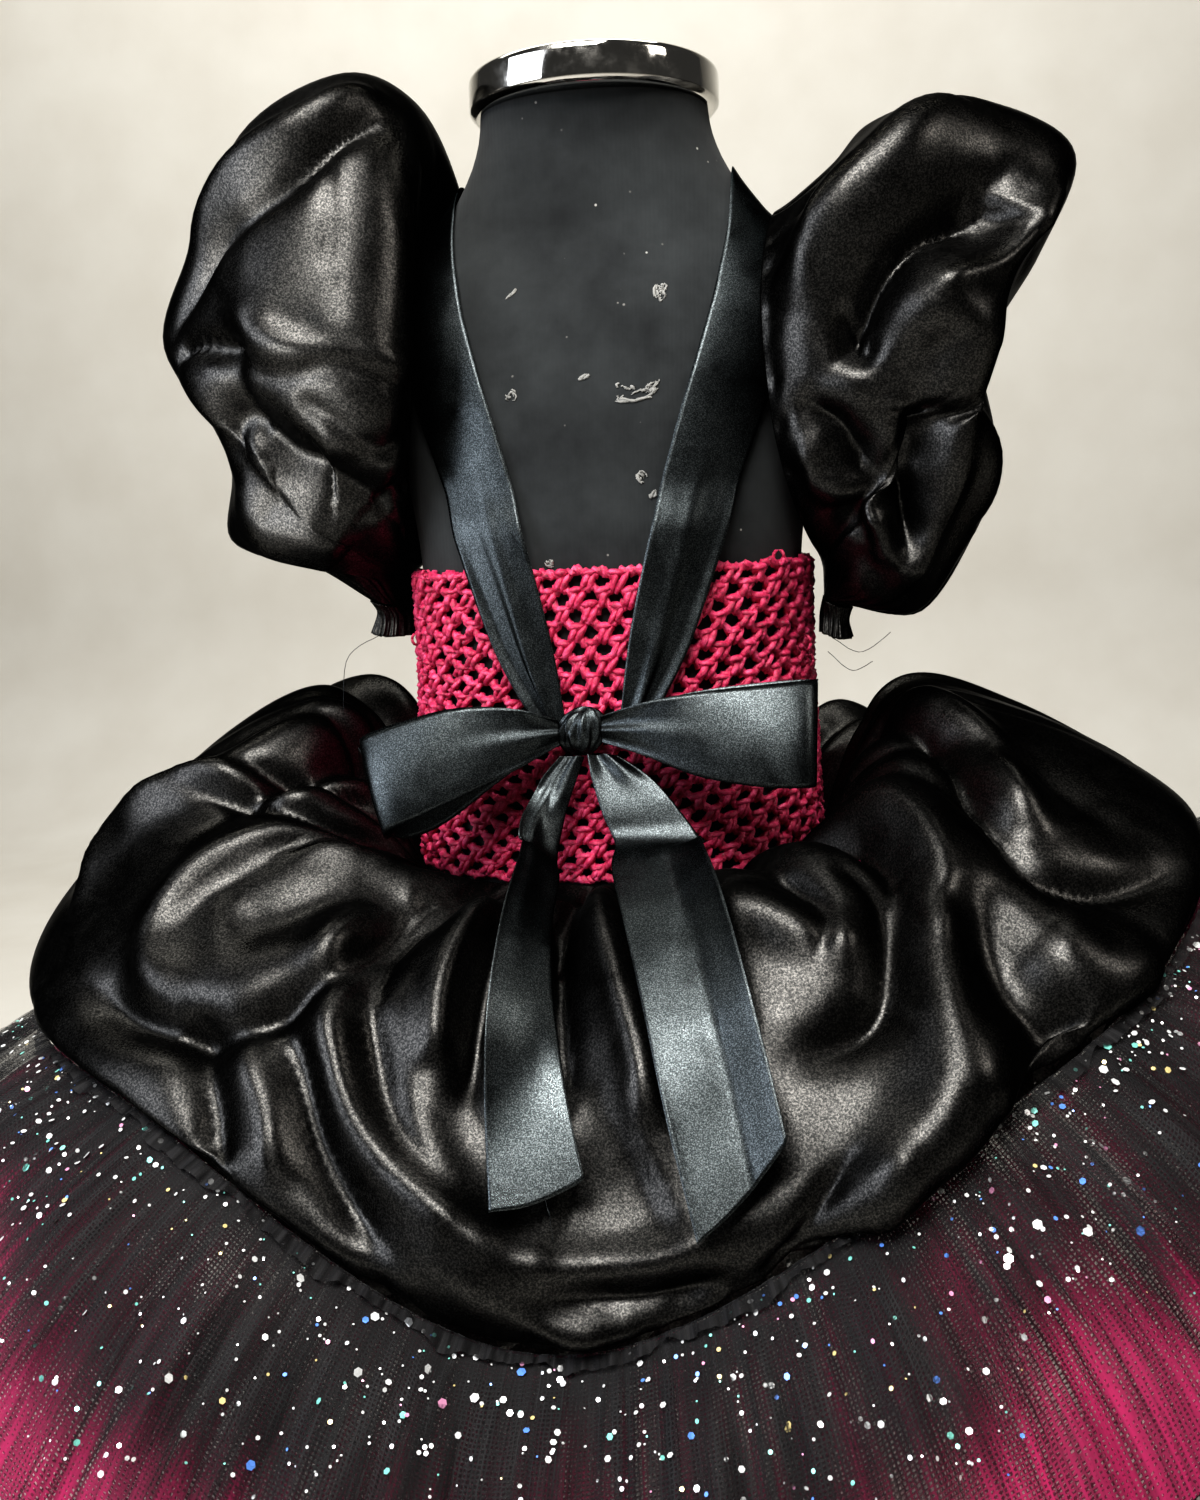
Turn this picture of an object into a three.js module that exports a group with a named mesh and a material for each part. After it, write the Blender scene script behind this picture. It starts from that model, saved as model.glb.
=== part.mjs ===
// A child's witch tutu dress on a limbless dress form with a short counter stand.
// Millimetres, +Z up, the back with its bow facing -Y. The origin is the centre of the base's underside.
import * as THREE from "three";

// ---------------------------------------------------------------- driving sizes

const WAIST = 480; // height of the waist seam above the counter
const SEAM_GAP = 0.4; // air left between two pieces that meet
const CLOTH = 1.2; // wall of the satin pieces
const NET = 1.0; // wall of a tulle layer
const RIBBON = 1.0; // wall of the satin ribbon
const RIBBON_WIDTH = 38;

const STAND = { baseRadius: 150, baseHeight: 9, poleRadius: 12.5, collarRadius: 24, collarHeight: 16 };
const NECK_CAP = { radius: 55.5, height: 17, bevel: 2.5, above: 331 };
const BODICE = { bottom: -0.8, top: 135, wall: 3, ribs: 18, ribHeight: 0.5 };

// The form's level sections by height above the waist: half width, half depth, how far forward each lies.
const FORM_POWER = 2.3;
const FORM_SECTIONS = [
  { up: -170, halfWidth: 90, halfDepth: 72, forward: 0 },
  { up: -164, halfWidth: 97, halfDepth: 78, forward: 0 },
  { up: -140, halfWidth: 102, halfDepth: 82, forward: 0 },
  { up: -90, halfWidth: 101, halfDepth: 82, forward: 0 },
  { up: -40, halfWidth: 94, halfDepth: 76, forward: 0 },
  { up: 0, halfWidth: 90, halfDepth: 73, forward: 0 },
  { up: 45, halfWidth: 88, halfDepth: 71, forward: 0 },
  { up: 90, halfWidth: 86.5, halfDepth: 69.5, forward: 0 },
  { up: 135, halfWidth: 87, halfDepth: 68.5, forward: 0 },
  { up: 175, halfWidth: 92, halfDepth: 66, forward: 0 },
  { up: 210, halfWidth: 100, halfDepth: 61, forward: 0 },
  { up: 238, halfWidth: 105, halfDepth: 54, forward: 1 },
  { up: 258, halfWidth: 99, halfDepth: 47, forward: 2 },
  { up: 272, halfWidth: 86, halfDepth: 43, forward: 3 },
  { up: 286, halfWidth: 72, halfDepth: 42, forward: 4 },
  { up: 303, halfWidth: 60, halfDepth: 43, forward: 4 },
  { up: 318, halfWidth: 53, halfDepth: 44, forward: 3 },
  { up: 330.6, halfWidth: 50.5, halfDepth: 46, forward: 2 },
];

// The overskirt's fall at eight directions round the waist. Azimuth 0 is the middle of the back, 90 the +X
// side. out is how far each point stands from the form at the waist, up its height above the waist seam. A
// short lip joins the first points to the seam, just under the bodice's edge.
const SEAM_LIP = { out: 2.4, up: -1.3, share: 0.03 };
const SKIRT_FALL = [
  { azimuth: -135, out: [6.5, 20, 60, 110, 152, 180, 174], up: [-1.4, 38, 57, 38, -2, -48, -84] },
  { azimuth: -90, out: [6.5, 18, 52, 105, 156, 190, 183], up: [-1.4, 48, 80, 60, 16, -32, -72] },
  { azimuth: -45, out: [6.5, 20, 58, 106, 144, 168, 162], up: [-1.4, 10, 22, 6, -26, -50, -60] },
  { azimuth: 0, out: [6.5, 24, 58, 96, 128, 146, 144], up: [-1.4, 4, -6, -38, -80, -114, -134] },
  { azimuth: 45, out: [6.5, 20, 58, 102, 138, 160, 157], up: [-1.4, 16, 28, 12, -16, -38, -50] },
  { azimuth: 90, out: [6.5, 18, 50, 98, 138, 164, 170], up: [-1.4, 45, 71, 58, 38, 20, 4] },
  { azimuth: 135, out: [6.5, 20, 58, 106, 146, 170, 168], up: [-1.4, 34, 50, 30, -4, -34, -54] },
  { azimuth: 180, out: [6.5, 22, 60, 104, 140, 162, 158], up: [-1.4, 20, 32, 6, -38, -82, -112] },
];

// How far the tulle runs on past the overskirt's hem, in the same eight directions.
const TULLE_RUN = [
  { azimuth: -135, out: 92, up: -42 },
  { azimuth: -90, out: 90, up: -52 },
  { azimuth: -45, out: 88, up: -66 },
  { azimuth: 0, out: 78, up: -80 },
  { azimuth: 45, out: 88, up: -66 },
  { azimuth: 90, out: 92, up: -40 },
  { azimuth: 135, out: 92, up: -30 },
  { azimuth: 180, out: 88, up: -60 },
];

// The overskirt's largest folds. Each runs through three places, given by azimuth and share of the fall.
// height is how far its crest stands out (a trough is negative), width its half width.
const SKIRT_FOLDS = [
  { name: "left side roll", azimuth: [-60, -78, -100], fall: [0.22, 0.36, 0.62], width: 20, height: 11 },
  { name: "left side valley", azimuth: [-48, -66, -84], fall: [0.24, 0.46, 0.72], width: 15, height: -12 },
  { name: "left bowl rim", azimuth: [-46, -62, -48], fall: [0.36, 0.6, 0.72], width: 13, height: 9 },
  { name: "left bowl", azimuth: [-38, -45, -50], fall: [0.42, 0.5, 0.58], width: 20, height: -9 },
  { name: "left long ridge", azimuth: [-28, -24, -12], fall: [0.2, 0.56, 0.9], width: 15, height: 10 },
  { name: "left inner valley", azimuth: [-20, -20, -15], fall: [0.16, 0.42, 0.7], width: 10, height: -9 },
  { name: "left inner ridge", azimuth: [-14, -13, -8], fall: [0.2, 0.48, 0.74], width: 11, height: 8 },
  { name: "middle valley", azimuth: [-4, -3, -2], fall: [0.16, 0.4, 0.62], width: 11, height: -9 },
  { name: "middle ridge", azimuth: [3, 7, 10], fall: [0.18, 0.42, 0.62], width: 12, height: 8 },
  { name: "hem roll", azimuth: [-16, 3, 24], fall: [0.82, 0.92, 0.86], width: 12, height: 7 },
  { name: "right curl", azimuth: [20, 34, 40], fall: [0.46, 0.56, 0.38], width: 12, height: -9 },
  { name: "right long valley", azimuth: [40, 42, 28], fall: [0.14, 0.4, 0.6], width: 11, height: -11 },
  { name: "right long ridge", azimuth: [46, 48, 32], fall: [0.2, 0.56, 0.9], width: 20, height: 11 },
  { name: "right side valley", azimuth: [58, 72, 88], fall: [0.22, 0.42, 0.62], width: 14, height: -11 },
  { name: "right side roll", azimuth: [70, 86, 104], fall: [0.2, 0.36, 0.58], width: 20, height: 10 },
  { name: "front left valley", azimuth: [-118, -122, -126], fall: [0.2, 0.5, 0.9], width: 16, height: -10 },
  { name: "front left ridge", azimuth: [-142, -144, -140], fall: [0.2, 0.5, 0.9], width: 18, height: 9 },
  { name: "front mid valley", azimuth: [-172, -176, -168], fall: [0.2, 0.5, 0.88], width: 15, height: -9 },
  { name: "front mid ridge", azimuth: [168, 164, 160], fall: [0.2, 0.5, 0.88], width: 17, height: 9 },
  { name: "front right valley", azimuth: [140, 138, 142], fall: [0.2, 0.5, 0.9], width: 15, height: -10 },
  { name: "front right ridge", azimuth: [122, 118, 114], fall: [0.2, 0.5, 0.9], width: 17, height: 9 },
];
const SKIRT_ROWS = [1, 0.95, 0.86, 0.76, 0.66, 0.56, 0.45, 0.34, 0.23, 0.12, 0.03, 0];
const WAIST_GATHERS = { count: 24, depth: 4.2, reach: 0.42 };
const HEM_GATHERS = { count: 24, depth: 3.4, reach: 0.16 };

// The places where the glitter tulle is short or parted, so that the pink shows.
const GLITTER_PARTINGS = [
  { azimuth: -52, width: 9, depth: 0.52 },
  { azimuth: -112, width: 8, depth: 0.4 },
  { azimuth: 36, width: 6, depth: 0.42 },
  { azimuth: 60, width: 8, depth: 0.56 },
  { azimuth: 128, width: 9, depth: 0.45 },
  { azimuth: 176, width: 8, depth: 0.4 },
];
const GLITTER_LIFT = { azimuth: 104, width: 14, rise: 34 };
const NET_ROWS = [1.5, 1.05, 0.75, 0.48, 0.3, 0.16, 0.03, 0];
// Which way a layer lies under the shell, in degrees from straight down towards the body, along its reach.
const UNDER_WAY = [
  { reach: 0, way: 0 },
  { reach: 0.03, way: -50 },
  { reach: 0.16, way: -42 },
  { reach: 0.34, way: 0 },
  { reach: 0.55, way: 28 },
  { reach: 0.8, way: 55 },
  { reach: 1, way: 58 },
  { reach: 1.35, way: 38 },
  { reach: 2.4, way: 34 },
];
// Each tulle layer: how deep it lies under the shell, its waves, their height at the hem and its length.
const GLITTER_NET = { waves: 30, wave: 6.5, length: 1, start: 1.007, tuck: 0.9 };
const PINK_NET = { waves: 20, wave: 4.8, length: 1.12, depth: 22, waistDepth: 2.8 };
const BLACK_NET = { waves: 16, wave: 4.8, length: 1.2, depth: 37, waistDepth: 5.8 };

// Each puff sleeve is a tube. A row is one ring of it: where its top and bottom lie in the front view
// (outward from the middle, and above the waist), how far it bulges to the back and front, and how far those
// two sides are drawn in towards the body.
const SLEEVE_LEFT = [
  { topOut: 80, topUp: 283, lowOut: 93.4, lowUp: 136.6, back: 58, front: 56, drawn: 12 },
  { topOut: 74, topUp: 299, lowOut: 93.8, lowUp: 136.1, back: 67, front: 64, drawn: 10 },
  { topOut: 71, topUp: 321, lowOut: 94.2, lowUp: 135.5, back: 76, front: 74, drawn: 6 },
  { topOut: 83, topUp: 345, lowOut: 94.6, lowUp: 134.9, back: 83, front: 80, drawn: 2 },
  { topOut: 108, topUp: 355, lowOut: 95, lowUp: 134.3, back: 86, front: 82, drawn: 0 },
  { topOut: 150, topUp: 336, lowOut: 95.4, lowUp: 133.7, back: 84, front: 80, drawn: 0 },
  { topOut: 179, topUp: 290, lowOut: 95.7, lowUp: 133.1, back: 76, front: 72, drawn: 0 },
  { topOut: 200, topUp: 247, lowOut: 96, lowUp: 132.5, back: 68, front: 64, drawn: 0 },
  { topOut: 183, topUp: 214, lowOut: 96.3, lowUp: 131.9, back: 62, front: 58, drawn: 0 },
  { topOut: 174, topUp: 186, lowOut: 96.6, lowUp: 131.4, back: 57, front: 53, drawn: 0 },
  { topOut: 178, topUp: 153, lowOut: 96.9, lowUp: 130.6, back: 50, front: 46, drawn: 0 },
  { topOut: 146, topUp: 143.5, lowOut: 97.2, lowUp: 128, back: 42, front: 39, drawn: 0 },
  { topOut: 113, topUp: 123, lowOut: 97.4, lowUp: 118.5, back: 28, front: 26, drawn: 0 },
];
const SLEEVE_RIGHT = [
  { topOut: 80, topUp: 283.4, lowOut: 93.4, lowUp: 136.6, back: 58, front: 56, drawn: 12 },
  { topOut: 89, topUp: 289, lowOut: 93.8, lowUp: 135.9, back: 66, front: 64, drawn: 10 },
  { topOut: 105, topUp: 301, lowOut: 94.2, lowUp: 135.1, back: 73, front: 72, drawn: 6 },
  { topOut: 120, topUp: 316, lowOut: 94.6, lowUp: 134.3, back: 78, front: 76, drawn: 2 },
  { topOut: 148, topUp: 323, lowOut: 95, lowUp: 133.5, back: 81, front: 78, drawn: 0 },
  { topOut: 184, topUp: 315, lowOut: 95.4, lowUp: 132.6, back: 80, front: 76, drawn: 0 },
  { topOut: 205, topUp: 295, lowOut: 95.7, lowUp: 131.6, back: 76, front: 72, drawn: 0 },
  { topOut: 190, topUp: 258, lowOut: 96, lowUp: 130.6, back: 72, front: 66, drawn: 0 },
  { topOut: 167, topUp: 218, lowOut: 96.2, lowUp: 129.6, back: 68, front: 60, drawn: 0 },
  { topOut: 171, topUp: 180, lowOut: 96.4, lowUp: 128.8, back: 64, front: 54, drawn: 0 },
  { topOut: 163, topUp: 142, lowOut: 96.6, lowUp: 127.4, back: 54, front: 47, drawn: 1 },
  { topOut: 140, topUp: 107, lowOut: 96.7, lowUp: 123.8, back: 42, front: 37, drawn: 2 },
  { topOut: 110, topUp: 111, lowOut: 96.8, lowUp: 116.5, back: 28, front: 26, drawn: 3 },
];
const SLEEVE_POWER = 2.25;
const SLEEVE_GATHERS = { count: 10, depth: 1.3, reach: 0.24 };
// The sleeves' largest folds run through three places: degrees round the tube from its top over the back,
// and the share of the way from armhole to cuff.
const SLEEVE_FOLDS_LEFT = [
  { name: "shoulder crease", round: [14, 40, 58], along: [0.3, 0.46, 0.62], width: 11, height: -9 },
  { name: "elbow dent", round: [20, 46, 74], along: [0.74, 0.76, 0.72], width: 12, height: -10 },
  { name: "lower dent", round: [60, 96, 130], along: [0.84, 0.74, 0.6], width: 14, height: -9 },
  { name: "front dent", round: [-50, -80, -110], along: [0.5, 0.62, 0.6], width: 16, height: -9 },
];
const SLEEVE_FOLDS_RIGHT = [
  { name: "twist valley", round: [30, 62, 96], along: [0.62, 0.5, 0.34], width: 15, height: -15 },
  { name: "upper roll", round: [6, 40, 80], along: [0.36, 0.32, 0.16], width: 15, height: 10 },
  { name: "lower roll", round: [50, 84, 104], along: [0.7, 0.62, 0.5], width: 17, height: 10 },
  { name: "waist dent", round: [-14, 12, 40], along: [0.66, 0.68, 0.66], width: 13, height: -10 },
  { name: "front dent", round: [-60, -90, -112], along: [0.42, 0.56, 0.6], width: 16, height: -9 },
];
// The elastic cuff under each sleeve, from its seam with the sleeve down to its frill.
const CUFF = { ruffles: 8, ruffleHeight: 1.2 };
const CUFF_LEFT = [
  { topOut: 112.4, topUp: 121.9, lowOut: 97.3, lowUp: 117.4, back: 27.6, front: 25.6, drawn: 0 },
  { topOut: 109, topUp: 115.5, lowOut: 95.8, lowUp: 112.5, back: 25, front: 23.5, drawn: 0 },
  { topOut: 111, topUp: 106, lowOut: 96, lowUp: 104, back: 28, front: 26, drawn: 0 },
];
const CUFF_RIGHT = [
  { topOut: 109.5, topUp: 109.8, lowOut: 96.7, lowUp: 115.3, back: 27.5, front: 25.5, drawn: 3 },
  { topOut: 107.5, topUp: 104, lowOut: 95.8, lowUp: 109, back: 26, front: 24.5, drawn: 1.5 },
  { topOut: 108.5, topUp: 96, lowOut: 96, lowUp: 100.5, back: 28, front: 26, drawn: 2.5 },
];

// A strap's path over the form, from the knot at the back up over the shoulder to the front. angle is the
// direction seen from the shoulder's middle (-90 down, 0 to the back, 90 up, 180 to the front).
const STRAP_PIVOT = 235;
const STRAP_PATH = [
  { angle: -65.2, across: 17, width: 11 },
  { angle: -61, across: 29.5, width: 28 },
  { angle: -52, across: 43, width: 36 },
  { angle: -40, across: 54, width: RIBBON_WIDTH },
  { angle: -20, across: 64, width: RIBBON_WIDTH },
  { angle: 5, across: 71.5, width: RIBBON_WIDTH },
  { angle: 30, across: 75, width: 36.5 },
  { angle: 55, across: 77, width: 34 },
  { angle: 78, across: 77, width: 32 },
  { angle: 100, across: 77, width: 32 },
  { angle: 125, across: 77, width: 34 },
  { angle: 150, across: 75, width: 36 },
  { angle: 175, across: 71.5, width: RIBBON_WIDTH },
  { angle: 200, across: 65, width: RIBBON_WIDTH },
  { angle: 222, across: 55.5, width: RIBBON_WIDTH },
  { angle: 240.5, across: 48, width: RIBBON_WIDTH },
];

// The bow: where its knot sits, and each loop's centre line, out from the knot and back again.
const KNOT = { across: -4, up: 66, radius: 9.5, stretch: 1.15, seat: 0.7 };
const LOOP_LEFT = [
  { across: -12.8, back: 86.5, up: 66.5, width: 11, lean: 0 },
  { across: -30, back: 93, up: 65, width: 25, lean: 3 },
  { across: -52, back: 97, up: 61, width: 35, lean: 9 },
  { across: -74, back: 98, up: 54, width: 39, lean: 14 },
  { across: -90, back: 96, up: 48, width: 40, lean: 18 },
  { across: -94, back: 90, up: 46, width: 40, lean: 18 },
  { across: -89, back: 85, up: 47, width: 40, lean: 18 },
  { across: -72, back: 84.6, up: 53, width: 37, lean: 13 },
  { across: -48, back: 84.2, up: 60, width: 30, lean: 8 },
  { across: -26, back: 84, up: 65, width: 19, lean: 3 },
  { across: -14.2, back: 83, up: 66, width: 10, lean: 0 },
];
const LOOP_RIGHT = [
  { across: 4.8, back: 86.5, up: 67.5, width: 11, lean: 0 },
  { across: 24, back: 93, up: 68, width: 22, lean: -3 },
  { across: 46, back: 97, up: 66, width: 33, lean: -4 },
  { across: 70, back: 99, up: 65, width: 39, lean: -4 },
  { across: 88, back: 97, up: 65, width: 41, lean: -2 },
  { across: 93, back: 91, up: 65, width: 41, lean: -2 },
  { across: 88, back: 85.5, up: 65, width: 41, lean: -2 },
  { across: 68, back: 84.8, up: 66, width: 37, lean: -3 },
  { across: 42, back: 84.2, up: 67, width: 29, lean: -3 },
  { across: 20, back: 84, up: 67, width: 18, lean: -2 },
  { across: 6.2, back: 83, up: 67, width: 10, lean: 0 },
];
// The tails: first down the bodice, then lying on the overskirt, clear of its folds.
const TAIL_CLEARANCE = 13;
const TAIL_LEFT = {
  overBodice: [
    { across: -8, back: 84.4, up: 56, width: 10 },
    { across: -14, back: 88, up: 46, width: 16 },
    { across: -19, back: 94, up: 32, width: 18 },
    { across: -20, back: 103, up: 19, width: 18 },
  ],
  overSkirt: [
    { azimuth: -9, fall: 0.28, width: 19 },
    { azimuth: -6.8, fall: 0.39, width: 23 },
    { azimuth: -4.6, fall: 0.5, width: 29 },
    { azimuth: -2.6, fall: 0.61, width: 34 },
    { azimuth: -0.8, fall: 0.72, width: RIBBON_WIDTH },
  ],
};
const TAIL_RIGHT = {
  overBodice: [
    { across: 4.5, back: 84.4, up: 56.6, width: 12 },
    { across: 13, back: 89, up: 47, width: 25 },
    { across: 22, back: 96, up: 33, width: 33 },
    { across: 29, back: 102, up: 22, width: 36 },
  ],
  overSkirt: [
    { azimuth: 16, fall: 0.29, width: RIBBON_WIDTH },
    { azimuth: 16.4, fall: 0.41, width: 37 },
    { azimuth: 17, fall: 0.54, width: 36 },
    { azimuth: 17.6, fall: 0.67, width: 35 },
    { azimuth: 18.2, fall: 0.8, width: 33 },
  ],
};

const MATERIALS = {
  jersey: new THREE.MeshStandardMaterial({ color: "#1d1f20", roughness: 0.9, metalness: 0 }),
  chrome: new THREE.MeshStandardMaterial({ color: "#d4d3cf", roughness: 0.12, metalness: 1 }),
  crochet: new THREE.MeshStandardMaterial({ color: "#d81b60", roughness: 0.85, metalness: 0 }),
  satin: new THREE.MeshStandardMaterial({ color: "#121212", roughness: 0.35, metalness: 0 }),
  ribbon: new THREE.MeshStandardMaterial({ color: "#161a1b", roughness: 0.32, metalness: 0 }),
  glitterNet: new THREE.MeshStandardMaterial({ color: "#1b1a1c", roughness: 0.6, metalness: 0 }),
  pinkNet: new THREE.MeshStandardMaterial({ color: "#c2305f", roughness: 0.7, metalness: 0 }),
  blackNet: new THREE.MeshStandardMaterial({ color: "#232022", roughness: 0.7, metalness: 0 }),
};

// ---------------------------------------------------------------- helpers

const RAD = Math.PI / 180;
const TURN = 2 * Math.PI;
const clamp = (x, low, high) => Math.min(high, Math.max(low, x));
const smooth = (x) => x * x * (3 - 2 * x);
const rise = (x, from, to) => smooth(clamp((x - from) / (to - from), 0, 1));

/** The Catmull-Rom value between b and c, at share x of the way. */
function cubic(a, b, c, d, x) {
  return b + 0.5 * x * (c - a + x * (2 * a - 5 * b + 4 * c - d + x * (3 * (b - c) + d - a)));
}

/** A smooth curve through evenly spaced values, at share t of the way along. */
function along(values, t) {
  const last = values.length - 1;
  const i = Math.min(Math.floor(t * last), last - 1);
  const at = (k) => values[clamp(k, 0, last)];
  return cubic(at(i - 1), at(i), at(i + 1), at(i + 2), t * last - i);
}

/** A smooth closed curve through values spaced evenly round the circle, the first one at firstDegrees. */
function around(values, firstDegrees, degrees) {
  const n = values.length;
  const x = ((((degrees - firstDegrees) / 360) % 1) + 1) * n;
  const i = Math.floor(x);
  const at = (k) => values[((k % n) + n) % n];
  return cubic(at(i - 1), at(i), at(i + 1), at(i + 2), x - i);
}

/** One named column of a table. */
const column = (table, name) => table.map((row) => row[name]);

/** The distance from the middle to an oval's edge in the direction of an azimuth from the back. */
function ovalRadius(halfWidth, halfDepth, power, azimuth) {
  const x = Math.abs(Math.sin(azimuth)) / halfWidth;
  const y = Math.abs(Math.cos(azimuth)) / halfDepth;
  return (x ** power + y ** power) ** (-1 / power);
}

/** The form's section at a height above the waist, smooth between the table's rows. */
function formSection(up) {
  const rows = FORM_SECTIONS;
  const last = rows.length - 1;
  const height = clamp(up, rows[0].up, rows[last].up);
  let i = 0;
  while (i < last - 1 && rows[i + 1].up < height) i += 1;
  const x = (height - rows[i].up) / (rows[i + 1].up - rows[i].up);
  const pick = (name) => {
    const at = (k) => rows[clamp(k, 0, last)][name];
    return cubic(at(i - 1), at(i), at(i + 1), at(i + 2), x);
  };
  return { halfWidth: pick("halfWidth"), halfDepth: pick("halfDepth"), forward: pick("forward") };
}

/** A point round the form, at an azimuth from the back and a height over the waist, moved out some way. */
function roundForm(azimuth, up, out) {
  const section = formSection(up);
  const radius = ovalRadius(section.halfWidth + out, section.halfDepth + out, FORM_POWER, azimuth);
  const y = section.forward - radius * Math.cos(azimuth);
  return new THREE.Vector3(radius * Math.sin(azimuth), y, WAIST + up);
}

/** Above 1 outside the form grown by some distance, below 1 inside it. */
function formMeasure(x, y, up, out) {
  const section = formSection(up);
  const side = Math.abs(x) / (section.halfWidth + out);
  const deep = Math.abs(y - section.forward) / (section.halfDepth + out);
  return side ** FORM_POWER + deep ** FORM_POWER;
}

/** The normals of a grid of points, by the differences between neighbours. */
function gridNormals(grid, closed) {
  const rows = grid.length;
  const across = grid[0].length;
  return grid.map((row, j) =>
    row.map((_, i) => {
      const wrap = (k) => (closed ? (k + across) % across : clamp(k, 0, across - 1));
      const u = row[wrap(i + 1)].clone().sub(row[wrap(i - 1)]);
      const v = grid[Math.min(j + 1, rows - 1)][i].clone().sub(grid[Math.max(j - 1, 0)][i]);
      return u.cross(v).normalize();
    }),
  );
}

/** A wall as one closed solid: the grid's points, the same points moved by the thickness, and the rims. */
function wall(grid, thickness, closed) {
  const normals = gridNormals(grid, closed);
  const rows = grid.length;
  const across = grid[0].length;
  const points = [];
  const faces = [];
  const outer = (j, i) => j * across + (i % across);
  const inner = (j, i) => rows * across + outer(j, i);
  const quad = (a, b, c, d) => faces.push(a, b, c, a, c, d);
  grid.forEach((row) => row.forEach((p) => points.push(p)));
  const moved = (p, j, i) => p.clone().addScaledVector(normals[j][i], -thickness);
  grid.forEach((row, j) => row.forEach((p, i) => points.push(moved(p, j, i))));
  const spans = closed ? across : across - 1;
  for (let j = 0; j < rows - 1; j += 1) {
    for (let i = 0; i < spans; i += 1) {
      quad(outer(j, i), outer(j, i + 1), outer(j + 1, i + 1), outer(j + 1, i));
      quad(inner(j, i), inner(j + 1, i), inner(j + 1, i + 1), inner(j, i + 1));
    }
  }
  for (let i = 0; i < spans; i += 1) {
    quad(outer(0, i), inner(0, i), inner(0, i + 1), outer(0, i + 1));
    quad(outer(rows - 1, i), outer(rows - 1, i + 1), inner(rows - 1, i + 1), inner(rows - 1, i));
  }
  if (!closed) {
    for (let j = 0; j < rows - 1; j += 1) {
      quad(outer(j, 0), outer(j + 1, 0), inner(j + 1, 0), inner(j, 0));
      quad(outer(j, spans), inner(j, spans), inner(j + 1, spans), outer(j + 1, spans));
    }
  }
  return geometryOf(points, faces);
}

/** A BufferGeometry from points and triangles. */
function geometryOf(points, faces) {
  const geometry = new THREE.BufferGeometry().setFromPoints(points);
  geometry.setIndex(faces);
  geometry.computeVertexNormals();
  return geometry;
}

/** A grid of points: rows run along, and each row runs across. */
function gridOf(rows, across, closed, place) {
  const spans = closed ? across : across - 1;
  return Array.from({ length: rows }, (_, j) =>
    Array.from({ length: across }, (__, i) => place(i / spans, j / (rows - 1))),
  );
}

/** A closed grid whose rows lie at given shares, each round the full circle of azimuths. */
function gridAt(shares, across, place) {
  return shares.map((share) => Array.from({ length: across }, (_, i) => place((360 * i) / across, share)));
}

/** The crest line of a fold as points in space, from its three places on a surface. */
function crestLine(first, second, place, samples = 14) {
  return Array.from({ length: samples }, (_, k) => {
    const s = k / (samples - 1);
    return place(along(first, s), along(second, s));
  });
}

/** How far the folds move a point out: each is full on its crest line and fades to its sides and ends. */
function foldHeight(point, folds) {
  return folds.reduce((total, fold) => {
    let nearest = Infinity;
    let at = 0;
    fold.line.forEach((p, k) => {
      const d = p.distanceToSquared(point);
      if (d < nearest) {
        nearest = d;
        at = k / (fold.line.length - 1);
      }
    });
    const ends = Math.min(1, 4 * Math.min(at, 1 - at) + 0.35);
    return total + fold.height * ends * Math.exp(-nearest / (fold.width * fold.width));
  }, 0);
}

/** A slow uneven wave round the circle, between -1 and 1, so that no two gathers are alike. */
function uneven(azimuth, seed) {
  const slow = 0.5 * Math.sin(3 * azimuth + seed) + 0.3 * Math.sin(7 * azimuth + 2.1 * seed);
  return slow + 0.2 * Math.sin(11 * azimuth);
}

/** One named mesh. */
function piece(name, geometry, material) {
  const mesh = new THREE.Mesh(geometry, material);
  mesh.name = name;
  return mesh;
}

// ---------------------------------------------------------------- the form and its stand

/** The jersey-covered torso: one closed solid with a flat foot and a flat neck. */
function torso() {
  const across = 28;
  const last = FORM_SECTIONS.length - 1;
  const between = (k) => 0.5 * (FORM_SECTIONS[k].up + FORM_SECTIONS[k + 1].up);
  const heights = FORM_SECTIONS.flatMap(({ up }, k) => (up < 130 || k === last ? up : [up, between(k)]));
  const ring = (up) => Array.from({ length: across }, (_, i) => roundForm((TURN * i) / across, up, 0));
  const grid = heights.map(ring);
  const points = grid.flat();
  const faces = [];
  const at = (j, i) => j * across + (i % across);
  for (let j = 0; j < grid.length - 1; j += 1) {
    for (let i = 0; i < across; i += 1) {
      faces.push(at(j, i), at(j, i + 1), at(j + 1, i + 1), at(j, i), at(j + 1, i + 1), at(j + 1, i));
    }
  }
  const end = grid.length - 1;
  const foot = points.push(new THREE.Vector3(0, FORM_SECTIONS[0].forward, WAIST + heights[0])) - 1;
  const neck = points.push(new THREE.Vector3(0, FORM_SECTIONS[last].forward, WAIST + heights[end])) - 1;
  for (let i = 0; i < across; i += 1) {
    faces.push(foot, at(0, i + 1), at(0, i));
    faces.push(neck, at(end, i), at(end, i + 1));
  }
  return piece("form_torso", geometryOf(points, faces), MATERIALS.jersey);
}

/** A turned solid from a profile of radius and height, starting and ending on the axis. */
function turned(name, profile, sides, material, lift) {
  const points = profile.map(([radius, height]) => new THREE.Vector2(radius, height));
  const mesh = piece(name, new THREE.LatheGeometry(points, sides).rotateX(Math.PI / 2), material);
  mesh.position.z = lift;
  return mesh;
}

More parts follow.
